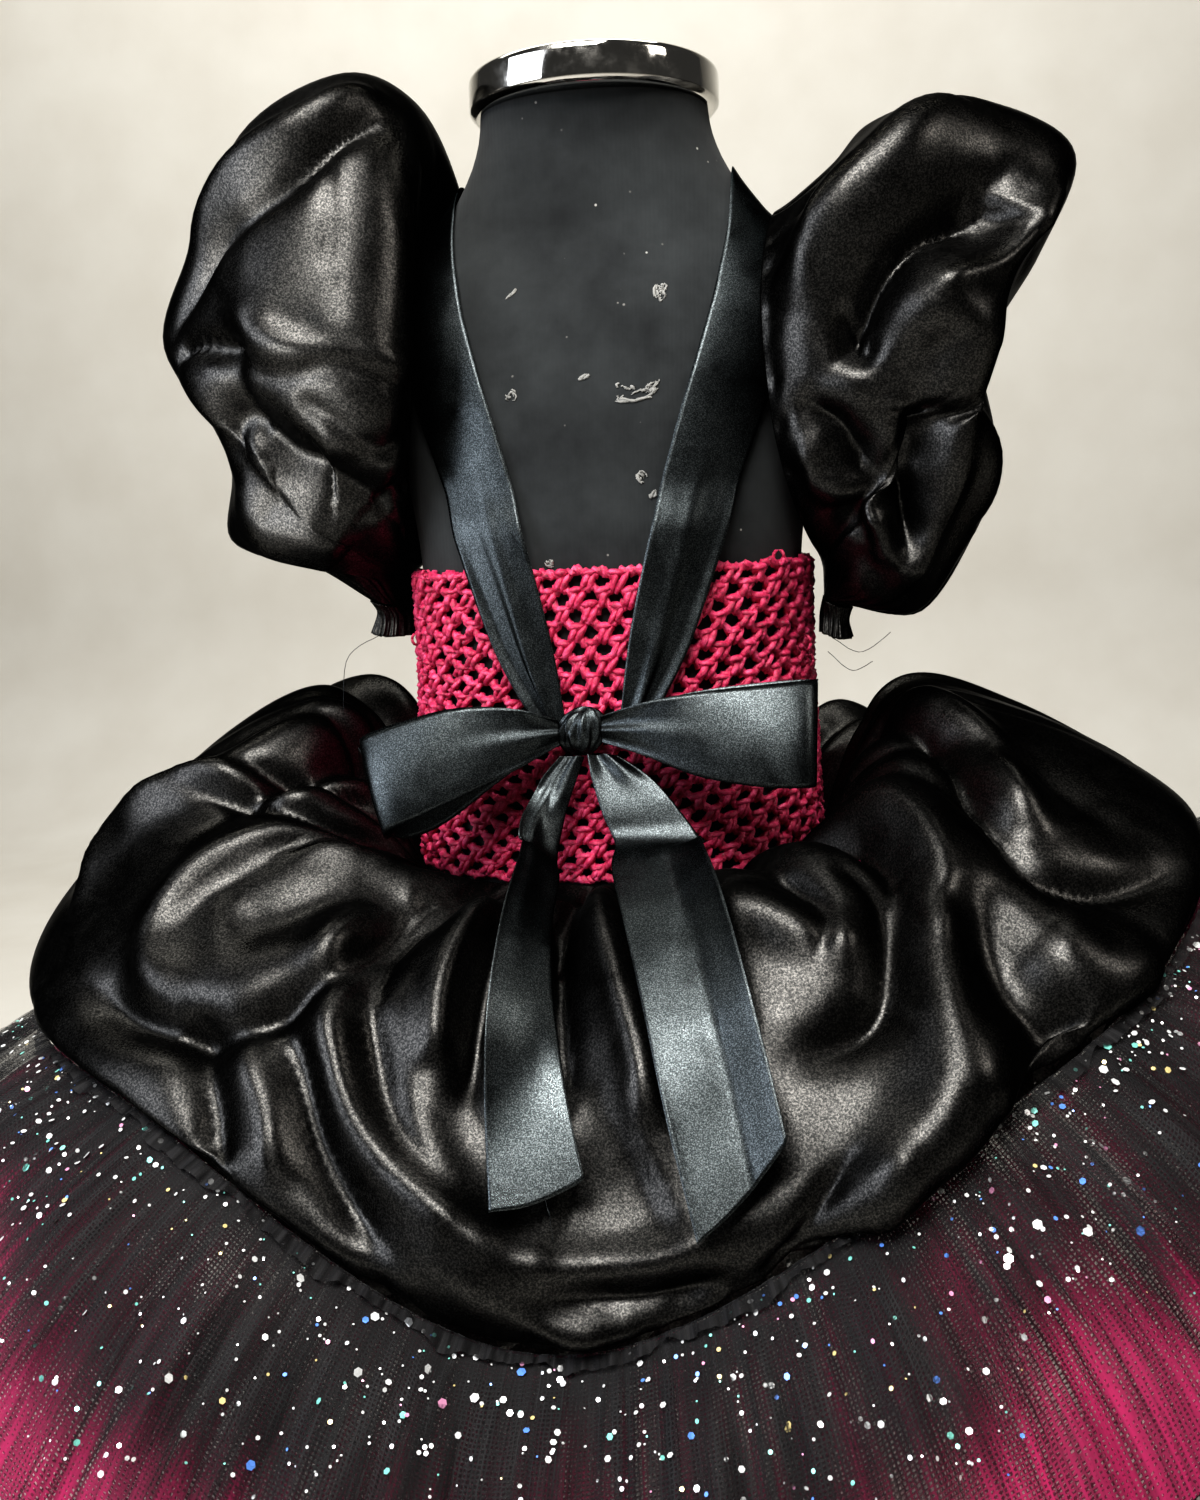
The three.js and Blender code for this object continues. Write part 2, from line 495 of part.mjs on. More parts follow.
/** The bright metal disc on the neck. */
function neckCap() {
  const { radius, height, bevel, above } = NECK_CAP;
  const profile = [
    [0, 0],
    [radius - bevel, 0],
    [radius, bevel],
    [radius, height - bevel],
    [radius - bevel, height],
    [0, height],
  ];
  const mesh = turned("neck_cap", profile, 28, MATERIALS.chrome, WAIST + above);
  mesh.position.y = FORM_SECTIONS[FORM_SECTIONS.length - 1].forward;
  return mesh;
}

/** The round foot plate with its collar. */
function standBase() {
  const { baseRadius, baseHeight, poleRadius, collarRadius, collarHeight } = STAND;
  const profile = [
    [0, 0],
    [baseRadius, 0],
    [baseRadius, baseHeight - 3],
    [baseRadius - 4, baseHeight],
    [collarRadius + 4, baseHeight],
    [collarRadius, baseHeight + 3],
    [collarRadius - 3, baseHeight + collarHeight],
    [poleRadius + SEAM_GAP, baseHeight + collarHeight],
    [poleRadius + SEAM_GAP, baseHeight],
    [0, baseHeight],
  ];
  return turned("stand_base", profile, 24, MATERIALS.chrome, 0);
}

/** The pole from the base's socket to the form's foot. */
function standPole() {
  const { baseHeight, poleRadius } = STAND;
  const low = baseHeight + SEAM_GAP;
  const high = WAIST + FORM_SECTIONS[0].up - SEAM_GAP;
  const profile = [
    [0, 0],
    [poleRadius, 0],
    [poleRadius, high - low],
    [0, high - low],
  ];
  return turned("stand_pole", profile, 16, MATERIALS.chrome, low);
}

// ---------------------------------------------------------------- bodice and skirt

/** The crocheted tube from the waist seam to the underarm. */
function bodice() {
  const grid = gridOf(4, 2 * BODICE.ribs, true, (u, v) => {
    const azimuth = TURN * u;
    const rib = BODICE.ribHeight * Math.cos(BODICE.ribs * azimuth);
    const out = SEAM_GAP + BODICE.ribHeight + BODICE.wall + rib;
    return roundForm(azimuth, BODICE.bottom + v * (BODICE.top - BODICE.bottom), out);
  });
  return piece("bodice", wall(grid, BODICE.wall, true), MATERIALS.crochet);
}

/** The smooth shell that skirt and tulle follow: reach 0 is the waist, 1 the satin's hem, 2 the tulle's. */
function shell(azimuthDegrees, reach) {
  const azimuth = azimuthDegrees * RAD;
  const waist = formSection(0);
  const start = ovalRadius(waist.halfWidth, waist.halfDepth, FORM_POWER, azimuth);
  const fall = clamp((reach - SEAM_LIP.share) / (1 - SEAM_LIP.share), 0, 1);
  const first = SKIRT_FALL[0].azimuth;
  const lip = clamp(reach / SEAM_LIP.share, 0, 1);
  let out = around(SKIRT_FALL.map((row) => along(row.out, fall)), first, azimuthDegrees);
  let up = around(SKIRT_FALL.map((row) => along(row.up, fall)), first, azimuthDegrees);
  out = SEAM_LIP.out + lip * (out - SEAM_LIP.out);
  up = SEAM_LIP.up + lip * (up - SEAM_LIP.up);
  if (reach > 1) {
    const run = reach - 1;
    out += run * (1.25 - 0.25 * run) * around(column(TULLE_RUN, "out"), first, azimuthDegrees);
    up += run * (0.7 + 0.3 * run) * around(column(TULLE_RUN, "up"), first, azimuthDegrees);
    const off = (azimuthDegrees - GLITTER_LIFT.azimuth) / GLITTER_LIFT.width;
    up += GLITTER_LIFT.rise * run * Math.exp(-off * off);
  }
  const radius = start + out;
  return new THREE.Vector3(radius * Math.sin(azimuth), -radius * Math.cos(azimuth), WAIST + up);
}

/** The shell's outward normal. */
function shellNormal(azimuthDegrees, reach) {
  const step = 0.01;
  const round = shell(azimuthDegrees + 1, reach).sub(shell(azimuthDegrees - 1, reach));
  const down = shell(azimuthDegrees, reach + step).sub(shell(azimuthDegrees, Math.max(0, reach - step)));
  return down.cross(round).normalize();
}

const skirtFolds = SKIRT_FOLDS.map((fold) => ({
  ...fold,
  line: crestLine(fold.azimuth, fold.fall, shell),
}));

/** A point of the overskirt's outer face: the shell with its folds and gathers. */
function overskirtPoint(azimuthDegrees, fall) {
  const azimuth = azimuthDegrees * RAD;
  const point = shell(azimuthDegrees, fall);
  const waistShare = Math.exp(-(((fall - 0.12) / (0.4 * WAIST_GATHERS.reach)) ** 2)) * rise(fall, 0, 0.08);
  const waistWave = Math.cos(WAIST_GATHERS.count * azimuth + 2 * uneven(azimuth, 1)) - 1;
  const hemShare = rise(fall, 1 - HEM_GATHERS.reach, 0.97) * (1 - 0.6 * rise(fall, 0.97, 1));
  const hemWave = Math.cos(HEM_GATHERS.count * azimuth + 2 * uneven(azimuth, 4));
  const move =
    foldHeight(point, skirtFolds) * rise(fall, 0.03, 0.16) * (1 - rise(fall, 0.93, 1)) +
    0.5 * WAIST_GATHERS.depth * waistShare * waistWave +
    0.5 * HEM_GATHERS.depth * hemShare * hemWave;
  return point.addScaledVector(shellNormal(azimuthDegrees, fall), move);
}

/** The black satin overskirt, from the waist seam over the panniers to its gathered hem. */
function overskirt() {
  const grid = gridAt(SKIRT_ROWS, 72, (azimuth, fall) => overskirtPoint(azimuth, fall));
  return piece("overskirt", wall(grid, CLOTH, true), MATERIALS.satin);
}

/** How much of its length the glitter tulle has at an azimuth, short where it is parted. */
function glitterLength(azimuthDegrees) {
  return GLITTER_PARTINGS.reduce((length, gap) => {
    const off = (((azimuthDegrees - gap.azimuth + 540) % 360) - 180) / gap.width;
    return length - gap.depth * Math.exp(-off * off);
  }, GLITTER_NET.length);
}

/** A layer's wave round the skirt, uneven in place and height. */
function unevenWave(azimuth, waves, seed) {
  return Math.cos(waves * azimuth + 1.6 * uneven(azimuth, seed)) * (1 + 0.35 * uneven(azimuth, seed + 2));
}

/** The black glitter tulle sewn to the overskirt's hem. */
function glitterTulle() {
  const { waves, wave, start, tuck } = GLITTER_NET;
  const grid = gridAt([1, 0.62, 0.28, 0], 3 * waves, (azimuth, share) => {
    const run = share * glitterLength(azimuth);
    const height = wave * (0.12 + 0.88 * share ** 0.7) * rise(share, 0.05, 0.3);
    const move = height * unevenWave(azimuth * RAD, waves, 3) - tuck * (1 - rise(share, 0.1, 0.4));
    return shell(azimuth, start + run).addScaledVector(shellNormal(azimuth, start + run), move);
  });
  return piece("tulle_glitter", wall(grid, NET, true), MATERIALS.glitterNet);
}

/** The way a layer lies under the shell at some reach. */
function underWay(reach) {
  const k = Math.max(1, UNDER_WAY.findIndex((row) => row.reach >= reach));
  const [from, to] = [UNDER_WAY[k - 1], UNDER_WAY[k]];
  return from.way + (to.way - from.way) * rise(reach, from.reach, to.reach);
}

/** A full tulle underskirt from the waist to its own hem, under the overskirt. */
function underTulle(name, net, material, seed) {
  const grid = gridAt([1 + net.length, ...NET_ROWS], 3 * net.waves, (azimuthDegrees, reach) => {
    const azimuth = azimuthDegrees * RAD;
    const depth = net.waistDepth + (net.depth - net.waistDepth) * rise(reach, 0, 0.18);
    const share = (0.25 + 0.35 * reach) * rise(reach, 0.04, 0.5);
    const height = net.wave * share * unevenWave(azimuth, net.waves, seed);
    const way = underWay(reach) * RAD;
    const inward = (depth - height) * Math.sin(way);
    const point = shell(azimuthDegrees, reach);
    point.x -= inward * Math.sin(azimuth);
    point.y += inward * Math.cos(azimuth);
    point.z -= (depth - height) * Math.cos(way);
    return point;
  });
  return piece(name, wall(grid, NET, true), material);
}

// ---------------------------------------------------------------- sleeves and cuffs

/** A point of a tube given by ring rows, for the side -1 or 1. round is 0 at the top and 90 at the back. */
function tubePoint(rings, side, round, share) {
  const row = (name) => along(column(rings, name), share);
  const angle = round * RAD;
  const blunt = (x) => Math.sign(x) * Math.abs(x) ** (2 / SLEEVE_POWER);
  const top = blunt(Math.cos(angle));
  const back = blunt(Math.sin(angle));
  const out = 0.5 * (row("topOut") + row("lowOut")) + 0.5 * top * (row("topOut") - row("lowOut"));
  const up = 0.5 * (row("topUp") + row("lowUp")) + 0.5 * top * (row("topUp") - row("lowUp"));
  const deep = back > 0 ? row("back") : row("front");
  const drawn = row("drawn") * back * back;
  return new THREE.Vector3(side * (out - drawn), -deep * back, WAIST + up);
}

/** A tube's outward normal at one of its points. */
function tubeNormal(rings, side, round, share) {
  const step = 0.01;
  const turn = tubePoint(rings, side, round + 2, share).sub(tubePoint(rings, side, round - 2, share));
  const run = tubePoint(rings, side, round, Math.min(1, share + step)).sub(
    tubePoint(rings, side, round, Math.max(0, share - step)),
  );
  return turn.cross(run).multiplyScalar(side).normalize();
}

/** One puff sleeve with its gathers and largest folds. */
function sleeve(name, rings, foldRows, side) {
  const folds = foldRows.map((fold) => ({
    ...fold,
    line: crestLine(fold.round, fold.along, (round, share) => tubePoint(rings, side, round, share)),
  }));
  const grid = gridOf(12, 30, true, (u, v) => {
    const round = side > 0 ? 360 * u : -360 * u;
    const point = tubePoint(rings, side, round, v);
    const fromEnd = Math.min(v, 1 - v);
    const gather = rise(fromEnd, 0, 0.1) * (1 - rise(fromEnd, 0.12, SLEEVE_GATHERS.reach));
    const wave = Math.cos(SLEEVE_GATHERS.count * round * RAD);
    const clear = 1 - rise(Math.abs(((round + 360) % 360) - 180), 50, 10);
    const dents = foldHeight(point, folds) * rise(fromEnd, 0.06, 0.24);
    const move = clear * (dents + SLEEVE_GATHERS.depth * gather * wave);
    return point.addScaledVector(tubeNormal(rings, side, round, v), move);
  });
  return piece(name, wall(grid, CLOTH, true), MATERIALS.satin);
}

/** The elastic cuff with its frill, just under a sleeve's end. */
function cuff(name, rings, side) {
  const grid = gridOf(3, 3 * CUFF.ruffles, true, (u, v) => {
    const round = side > 0 ? 360 * u : -360 * u;
    const wave = CUFF.ruffleHeight * v * Math.cos(CUFF.ruffles * round * RAD);
    const point = tubePoint(rings, side, round, v);
    return point.addScaledVector(tubeNormal(rings, side, round, v), wave);
  });
  return piece(name, wall(grid, RIBBON, true), MATERIALS.satin);
}

// ---------------------------------------------------------------- ribbon straps and bow

/** A point on the form grown by a distance, found outward from the shoulder's middle in a direction. */
function strapPoint(x, angleDegrees) {
  const angle = angleDegrees * RAD;
  let near = 0;
  let far = 300;
  const overBodice = (up) => 1.5 + RIBBON + (BODICE.wall + 3 * BODICE.ribHeight) * (1 - rise(up, 146, 170));
  for (let k = 0; k < 40; k += 1) {
    const middle = 0.5 * (near + far);
    const up = STRAP_PIVOT + middle * Math.sin(angle);
    if (formMeasure(x, -middle * Math.cos(angle), up, overBodice(up)) > 1) far = middle;
    else near = middle;
  }
  return new THREE.Vector3(x, -near * Math.cos(angle), WAIST + STRAP_PIVOT + near * Math.sin(angle));
}

/** One shoulder strap, lying on the form and over the bodice's edge at both ends. */
function strap(name, side) {
  const grid = gridOf(31, 4, false, (u, v) => {
    const half = 0.5 * along(column(STRAP_PATH, "width"), v);
    const across = along(column(STRAP_PATH, "across"), v) + half * (2 * u - 1);
    return strapPoint(side * across, along(column(STRAP_PATH, "angle"), v));
  });
  const facing = side > 0 ? grid : grid.map((row) => [...row].reverse());
  return piece(name, wall(facing, RIBBON, false), MATERIALS.ribbon);
}

/** A ribbon's edge points at one place of its path: its width stands up, leaning by some degrees. */
function ribbonRow(row, count) {
  const lean = (row.lean ?? 0) * RAD;
  return Array.from({ length: count }, (_, i) => {
    const offset = row.width * (i / (count - 1) - 0.5);
    const x = row.across - offset * Math.sin(lean);
    return new THREE.Vector3(x, -row.back, WAIST + row.up + offset * Math.cos(lean));
  });
}

/** One loop of the bow: the ribbon runs out from the knot, folds over and comes back. */
function loop(name, rows, side) {
  const names = ["across", "back", "up", "width", "lean"];
  const grid = Array.from({ length: 21 }, (_, j) => {
    const row = Object.fromEntries(names.map((key) => [key, along(column(rows, key), j / 20)]));
    return ribbonRow(row, 3);
  });
  const facing = side > 0 ? grid : grid.map((row) => [...row].reverse());
  return piece(name, wall(facing, RIBBON, false), MATERIALS.ribbon);
}

/** The knot: a small pulled-in lump of ribbon against the bodice. */
function knot() {
  const { across, up, radius, stretch, seat } = KNOT;
  const geometry = new THREE.SphereGeometry(radius, 14, 9).scale(1, 0.62, stretch);
  const mesh = piece("bow_knot", geometry, MATERIALS.ribbon);
  const bodiceBack = roundForm(Math.atan2(across, 70), up, SEAM_GAP + BODICE.wall + BODICE.ribHeight);
  mesh.position.set(across, bodiceBack.y - 0.62 * radius - seat, WAIST + up);
  return mesh;
}

/** One tail of the bow: down over the bodice and on over the overskirt. */
function tail(name, rows) {
  const bodiceRows = rows.overBodice.map((row) => ribbonRow({ ...row, lean: 90 }, 4).reverse());
  const skirtRows = rows.overSkirt.map((row) => {
    const middle = shell(row.azimuth, row.fall);
    const spread = row.width / Math.hypot(middle.x, middle.y) / RAD;
    return Array.from({ length: 4 }, (_, i) => {
      const azimuth = row.azimuth + spread * (i / 3 - 0.5);
      return shell(azimuth, row.fall).addScaledVector(shellNormal(azimuth, row.fall), TAIL_CLEARANCE);
    });
  });
  const keys = [...bodiceRows, ...skirtRows];
  const grid = Array.from({ length: 22 }, (_, j) =>
    Array.from({ length: 4 }, (__, i) => {
      const coordinate = (axis) => along(keys.map((row) => row[i][axis]), 1 - j / 21);
      return new THREE.Vector3(coordinate("x"), coordinate("y"), coordinate("z"));
    }),
  );
  return piece(name, wall(grid, RIBBON, false), MATERIALS.ribbon);
}

// ---------------------------------------------------------------- the whole object

const dress = new THREE.Group();
dress.add(torso(), neckCap(), standPole(), standBase());
dress.add(bodice(), overskirt(), glitterTulle());
dress.add(underTulle("tulle_pink", PINK_NET, MATERIALS.pinkNet, 5));
dress.add(underTulle("tulle_black", BLACK_NET, MATERIALS.blackNet, 8));
dress.add(sleeve("sleeve_left", SLEEVE_LEFT, SLEEVE_FOLDS_LEFT, -1));
dress.add(sleeve("sleeve_right", SLEEVE_RIGHT, SLEEVE_FOLDS_RIGHT, 1));
dress.add(cuff("cuff_left", CUFF_LEFT, -1), cuff("cuff_right", CUFF_RIGHT, 1));
dress.add(strap("strap_left", -1), strap("strap_right", 1));
dress.add(loop("bow_loop_left", LOOP_LEFT, -1), loop("bow_loop_right", LOOP_RIGHT, 1), knot());
dress.add(tail("bow_tail_left", TAIL_LEFT), tail("bow_tail_right", TAIL_RIGHT));

export default dress;
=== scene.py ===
"""A child's witch tutu dress on a limbless dress form.

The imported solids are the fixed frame. Every cloth piece is rebuilt here, finer, on its own solid's form:
satin overskirt and puff sleeves, crocheted bodice, ribbon straps and bow, glitter tulle over pink and black
tulle, and the jersey form with its bright cap and stand. Lengths in the tables are millimetres.
"""

from __future__ import annotations

import logging
import math
from dataclasses import dataclass, field
from enum import Enum
from typing import Callable, Sequence

import bpy
import numpy as np
from mathutils import Matrix, Vector


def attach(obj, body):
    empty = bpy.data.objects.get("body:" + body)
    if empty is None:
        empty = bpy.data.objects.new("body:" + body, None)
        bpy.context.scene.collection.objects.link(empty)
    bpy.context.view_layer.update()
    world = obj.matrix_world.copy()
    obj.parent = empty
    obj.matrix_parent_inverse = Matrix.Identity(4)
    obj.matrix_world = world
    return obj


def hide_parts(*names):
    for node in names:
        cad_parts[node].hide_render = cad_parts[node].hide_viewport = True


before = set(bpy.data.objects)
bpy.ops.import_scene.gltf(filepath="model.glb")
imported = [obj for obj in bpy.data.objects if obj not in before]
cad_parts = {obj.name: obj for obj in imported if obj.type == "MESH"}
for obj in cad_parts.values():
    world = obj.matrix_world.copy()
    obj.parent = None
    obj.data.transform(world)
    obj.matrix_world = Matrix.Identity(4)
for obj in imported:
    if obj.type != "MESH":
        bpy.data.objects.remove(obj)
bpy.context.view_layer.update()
log = logging.getLogger("dress")
Array = np.ndarray
Rows = tuple[tuple[float, ...], ...]
MM = 0.001
WAIST = 480.0


class Side(Enum):
    """Which side of the dress, seen from its back."""

    LEFT = -1
    RIGHT = 1

    @property
    def word(self) -> str:
        """The side's name as the pieces carry it."""
        return self.name.lower()


# ---------------------------------------------------------------- curves and grids


def smooth(x: Array) -> Array:
    """The smooth step of a share from 0 to 1."""
    return x * x * (3 - 2 * x)


def rise(x: Array, low: float, high: float) -> Array:
    """0 before low, 1 after high and smooth between them."""
    return smooth(np.clip((np.asarray(x, float) - low) / (high - low), 0, 1))


def cubic(a: Array, b: Array, c: Array, d: Array, x: Array) -> Array:
    """The Catmull-Rom value between b and c, at share x of the way."""
    return b + 0.5 * x * (c - a + x * (2 * a - 5 * b + 4 * c - d + x * (3 * (b - c) + d - a)))


def along(values: Array, t: Array) -> Array:
    """A smooth curve through evenly spaced values.

    Args:
        values: one value, or one row of values, for each place.
        t: shares of the way along, from 0 to 1.

    Returns:
        The curve's values at those shares.
    """
    values = np.asarray(values, float)
    t = np.asarray(t, float)
    last = len(values) - 1
    i = np.clip(np.floor(t * last).astype(int), 0, last - 1)
    x = t * last - i
    if values.ndim > 1:
        x = x[..., None]
    near = [values[np.clip(i + k, 0, last)] for k in (-1, 0, 1, 2)]
    return cubic(near[0], near[1], near[2], near[3], x)


def around(values: Array, first: float, degrees: Array) -> Array:
    """A smooth closed curve through values spaced evenly round the circle.

    Args:
        values: one value, or one row with a value for each place asked, for each direction.
        first: the direction of the first value, in degrees.
        degrees: the places asked, in degrees.

    Returns:
        The values there.
    """
    n = len(values)
    x = np.mod((degrees - first) / 360, 1) * n
    i = np.floor(x).astype(int)
    place = np.arange(len(degrees))
    near = [values[(i + k) % n, place] if values.ndim > 1 else values[(i + k) % n] for k in (-1, 0, 1, 2)]
    return cubic(near[0], near[1], near[2], near[3], x - i)


def unit(vectors: Array) -> Array:
    """The vectors at length 1."""
    return vectors / np.maximum(np.linalg.norm(vectors, axis=-1, keepdims=True), 1e-9)


def grid_normals(grid: Array, closed: bool) -> Array:
    """The normals of a grid of points, by the differences between neighbours.

    Args:
        grid: points as rows by columns by 3.
        closed: whether each row runs all round.

    Returns:
        Unit normals of the same shape, to the left of the rows' run.
    """
    if closed:
        u = np.roll(grid, -1, 1) - np.roll(grid, 1, 1)
    else:
        u = np.gradient(grid, axis=1)
    return unit(np.cross(u, np.gradient(grid, axis=0)))


def uneven(angle: Array, seed: float) -> Array:
    """A slow uneven wave round the circle, between -1 and 1."""
    slow = 0.5 * np.sin(3 * angle + seed) + 0.3 * np.sin(7 * angle + 2.1 * seed)
    return slow + 0.2 * np.sin(11 * angle)


@dataclass(frozen=True)
class Fold:
    """One fold of cloth, along a line on a surface's own two coordinates.

    Its name tells the reader which fold of the dress it is. Heights below 0 are valleys.
    """

    name: str
    across: Sequence[float]
    down: Sequence[float]
    width: float
    height: float
    power: float = 2.0
    ends: float = 0.25

    def heights(self, points: Array, place: Callable[[Array, Array], Array]) -> Array:
        """How far the fold moves each point out.

        Args:
            points: the surface's points, any shape by 3.
            place: the surface as a function of its two coordinates.

        Returns:
            The move in millimetres for each point.
        """
        steps = np.linspace(0, 1, 26)
        line = place(along(np.array(self.across), steps), along(np.array(self.down), steps))
        flat = points.reshape(-1, 3)
        nearest = np.full(len(flat), np.inf)
        at = np.zeros(len(flat))
        for k in range(len(steps) - 1):
            span = line[k + 1] - line[k]
            share = np.clip((flat - line[k]) @ span / max(span @ span, 1e-9), 0, 1)
            distance = ((flat - line[k] - share[:, None] * span) ** 2).sum(1)
            closer = distance < nearest
            nearest[closer] = distance[closer]
            at[closer] = steps[k] + share[closer] * (steps[1] - steps[0])
        taper = rise(np.minimum(at, 1 - at), -0.12, self.ends)
        shape = np.exp(-((np.sqrt(nearest) / self.width) ** self.power))
        return (self.height * taper * shape).reshape(points.shape[:-1])


@dataclass(frozen=True)
class Gathers:
    """A row of small uneven pleats that run from a seam and die out, no two alike."""

    count: int
    depth: float
    width: float
    reach: float
    seed: int

    def heights(self, turn: Array, away: Array, radius: Array) -> Array:
        """How far in the pleats draw the cloth.

        Args:
            turn: the direction of each point round the seam, in degrees.
            away: how far each point is from the seam, as a share.
            radius: millimetres for each radian of turn.

        Returns:
            The move out in millimetres, which is negative in a pleat.
        """
        draw = np.random.default_rng(self.seed)
        total = np.zeros(np.broadcast(turn, away).shape)
        for k in range(self.count):
            centre = 360 * (k + draw.uniform(-0.35, 0.35)) / self.count
            reach = self.reach * draw.uniform(0.45, 1.3)
            depth = self.depth * draw.uniform(0.5, 1.25)
            width = self.width * draw.uniform(0.7, 1.4)
            bend = draw.uniform(-5, 5)
            off = np.mod(turn - centre - bend * away / reach + 180, 360) - 180
            across = np.abs(np.radians(off)) * radius / (width * (0.7 + 1.1 * away / reach))
            total -= depth * np.exp(-(across**1.5)) * np.exp(-((away / reach) ** 2))
        return total


# ---------------------------------------------------------------- meshes


def mesh_object(
    name: str,
    points: Array,
    faces: list | Array,
    uv: Array | None = None,
    uv_index: Array | None = None,
) -> bpy.types.Object:
    """A smooth-shaded mesh object from points in millimetres.

    Args:
        name: the piece's name.
        points: vertices by 3, in millimetres.
        faces: vertex numbers of each face.
        uv: texture places in metres, if the piece has them.
        uv_index: for each corner of each face in turn, its row in uv.

    Returns:
        The object, linked to the scene.
    """
    mesh = bpy.data.meshes.new(name)
    listed = faces.tolist() if isinstance(faces, np.ndarray) else faces
    mesh.from_pydata((np.asarray(points) * MM).tolist(), [], listed)
    mesh.polygons.foreach_set("use_smooth", [True] * len(mesh.polygons))
    if uv is not None:
        layer = mesh.uv_layers.new(name="cloth")
        layer.data.foreach_set("uv", uv[uv_index].astype(np.float32).ravel())
    mesh.update()
    made = bpy.data.objects.new(name, mesh)
    bpy.context.scene.collection.objects.link(made)
    return made


def sheet_faces(rows: int, columns: int, closed: bool) -> tuple[Array, Array]:
    """The quads of a grid, as vertex numbers and as numbers into an unwrapped grid one column wider.

    Args:
        rows: how many rows of points.
        columns: how many points in a row.
        closed: whether each row runs all round.

    Returns:
        The faces by vertex, and by texture place.
    """
    spans = columns if closed else columns - 1
    j, i = np.meshgrid(np.arange(rows - 1), np.arange(spans), indexing="ij")
    right = (i + 1) % columns
    low, high = j * columns, (j + 1) * columns
    faces = np.stack([low + i, low + right, high + right, high + i], -1)
    wide = columns + 1
    places = np.stack([j * wide + i, j * wide + i + 1, (j + 1) * wide + i + 1, (j + 1) * wide + i], -1)
    return faces.reshape(-1, 4), places.reshape(-1, 4)


def unwrapped(grid: Array, closed: bool) -> Array:
    """Texture places in metres: the length along the middle row, and the length down each column.

    Args:
        grid: points as rows by columns by 3, in millimetres.
        closed: whether each row runs all round.

    Returns:
        One place for each point of the grid, one column wider.
    """
    wide = np.concatenate([grid, grid[:, :1]], 1) if closed else np.concatenate([grid, grid[:, -1:]], 1)
    middle = wide[len(wide) // 2]
    run = np.concatenate([[0], np.cumsum(np.linalg.norm(np.diff(middle, axis=0), axis=1))])
    drops = np.linalg.norm(np.diff(wide, axis=0), axis=2)
    down = np.concatenate([np.zeros((1, wide.shape[1])), np.cumsum(drops, 0)])
    places = np.stack([np.broadcast_to(run, down.shape), down], -1) * MM
    return places.reshape(-1, 2)


def cloth(name: str, grid: Array, closed: bool = False, thickness: float = 0.0) -> bpy.types.Object:
    """A sheet of cloth from a grid of points, single or as a thin closed shell.

    Args:
        name: the piece's name.
        grid: points of the outer face as rows by columns by 3, in millimetres.
        closed: whether each row runs all round.
        thickness: the cloth's thickness, or 0 for a single surface.

    Returns:
        The object.
    """
    rows, columns = grid.shape[:2]
    faces, places = sheet_faces(rows, columns, closed)
    uv = unwrapped(grid, closed)
    if not thickness:
        return mesh_object(name, grid.reshape(-1, 3), faces, uv, places.ravel())
    inner = grid - thickness * grid_normals(grid, closed)
    count = rows * columns
    points = np.concatenate([grid.reshape(-1, 3), inner.reshape(-1, 3)])
    back = faces[:, ::-1] + count
    rims, rim_places = [], []
    spans = columns if closed else columns - 1
    wide = columns + 1
    # Each rim: its points, the next ones, their texture places, and which way its faces run.
    strips = []
    i, j = np.arange(spans), np.arange(rows - 1)
    for k, turned in ((0, True), (rows - 1, False)):
        first = k * columns
        strips.append((first + i, first + (i + 1) % columns, k * wide + i, k * wide + i + 1, turned))
    if not closed:
        for k, turned in ((0, False), (columns - 1, True)):
            strips.append((j * columns + k, (j + 1) * columns + k, j * wide + k, (j + 1) * wide + k, turned))
    for a, b, p, q, turned in strips:
        rims.append(np.stack([a, a + count, b + count, b] if turned else [a, b, b + count, a + count], -1))
        rim_places.append(np.stack([p, p, q, q] if turned else [p, q, q, p], -1))
    every = np.concatenate([faces, back, *rims])
    every_place = np.concatenate([places, places[:, ::-1], *rim_places])
    return mesh_object(name, points, every, uv, every_place.ravel())


def tubes(name: str, paths: Sequence[Array], radii: Sequence[Array], sides: int) -> bpy.types.Object:
    """Many round strands in one mesh, each along its own path.

    Args:
        name: the piece's name.
        paths: points of each strand's middle, in millimetres.
        radii: the strand's radius at each of its points.
        sides: how many sides a strand has.

    Returns:
        The object.
    """
    points, faces, start = [], [], 0
    turn = 2 * math.pi * np.arange(sides) / sides
    for path, radius in zip(paths, radii):
        run = unit(np.gradient(path, axis=0))
        out = path * [1, 1, 0] / np.maximum(np.linalg.norm(path[:, :2], axis=1), 1e-6)[:, None]
        side = unit(np.cross(run, out))
        lift = np.cross(side, run)
        ring = path[:, None] + radius[:, None, None] * (
            np.cos(turn)[None, :, None] * side[:, None] + np.sin(turn)[None, :, None] * lift[:, None]
        )
        count = len(path)
        points.append(ring.reshape(-1, 3))
        j, i = np.meshgrid(np.arange(count - 1), np.arange(sides), indexing="ij")
        right = (i + 1) % sides
        quads = np.stack([j * sides + i, (j + 1) * sides + i, (j + 1) * sides + right, j * sides + right], -1)
        faces.extend((quads.reshape(-1, 4) + start).tolist())
        faces.append([start + k for k in range(sides)])
        faces.append([start + (count - 1) * sides + k for k in reversed(range(sides))])
        start += count * sides
    return mesh_object(name, np.concatenate(points), faces)


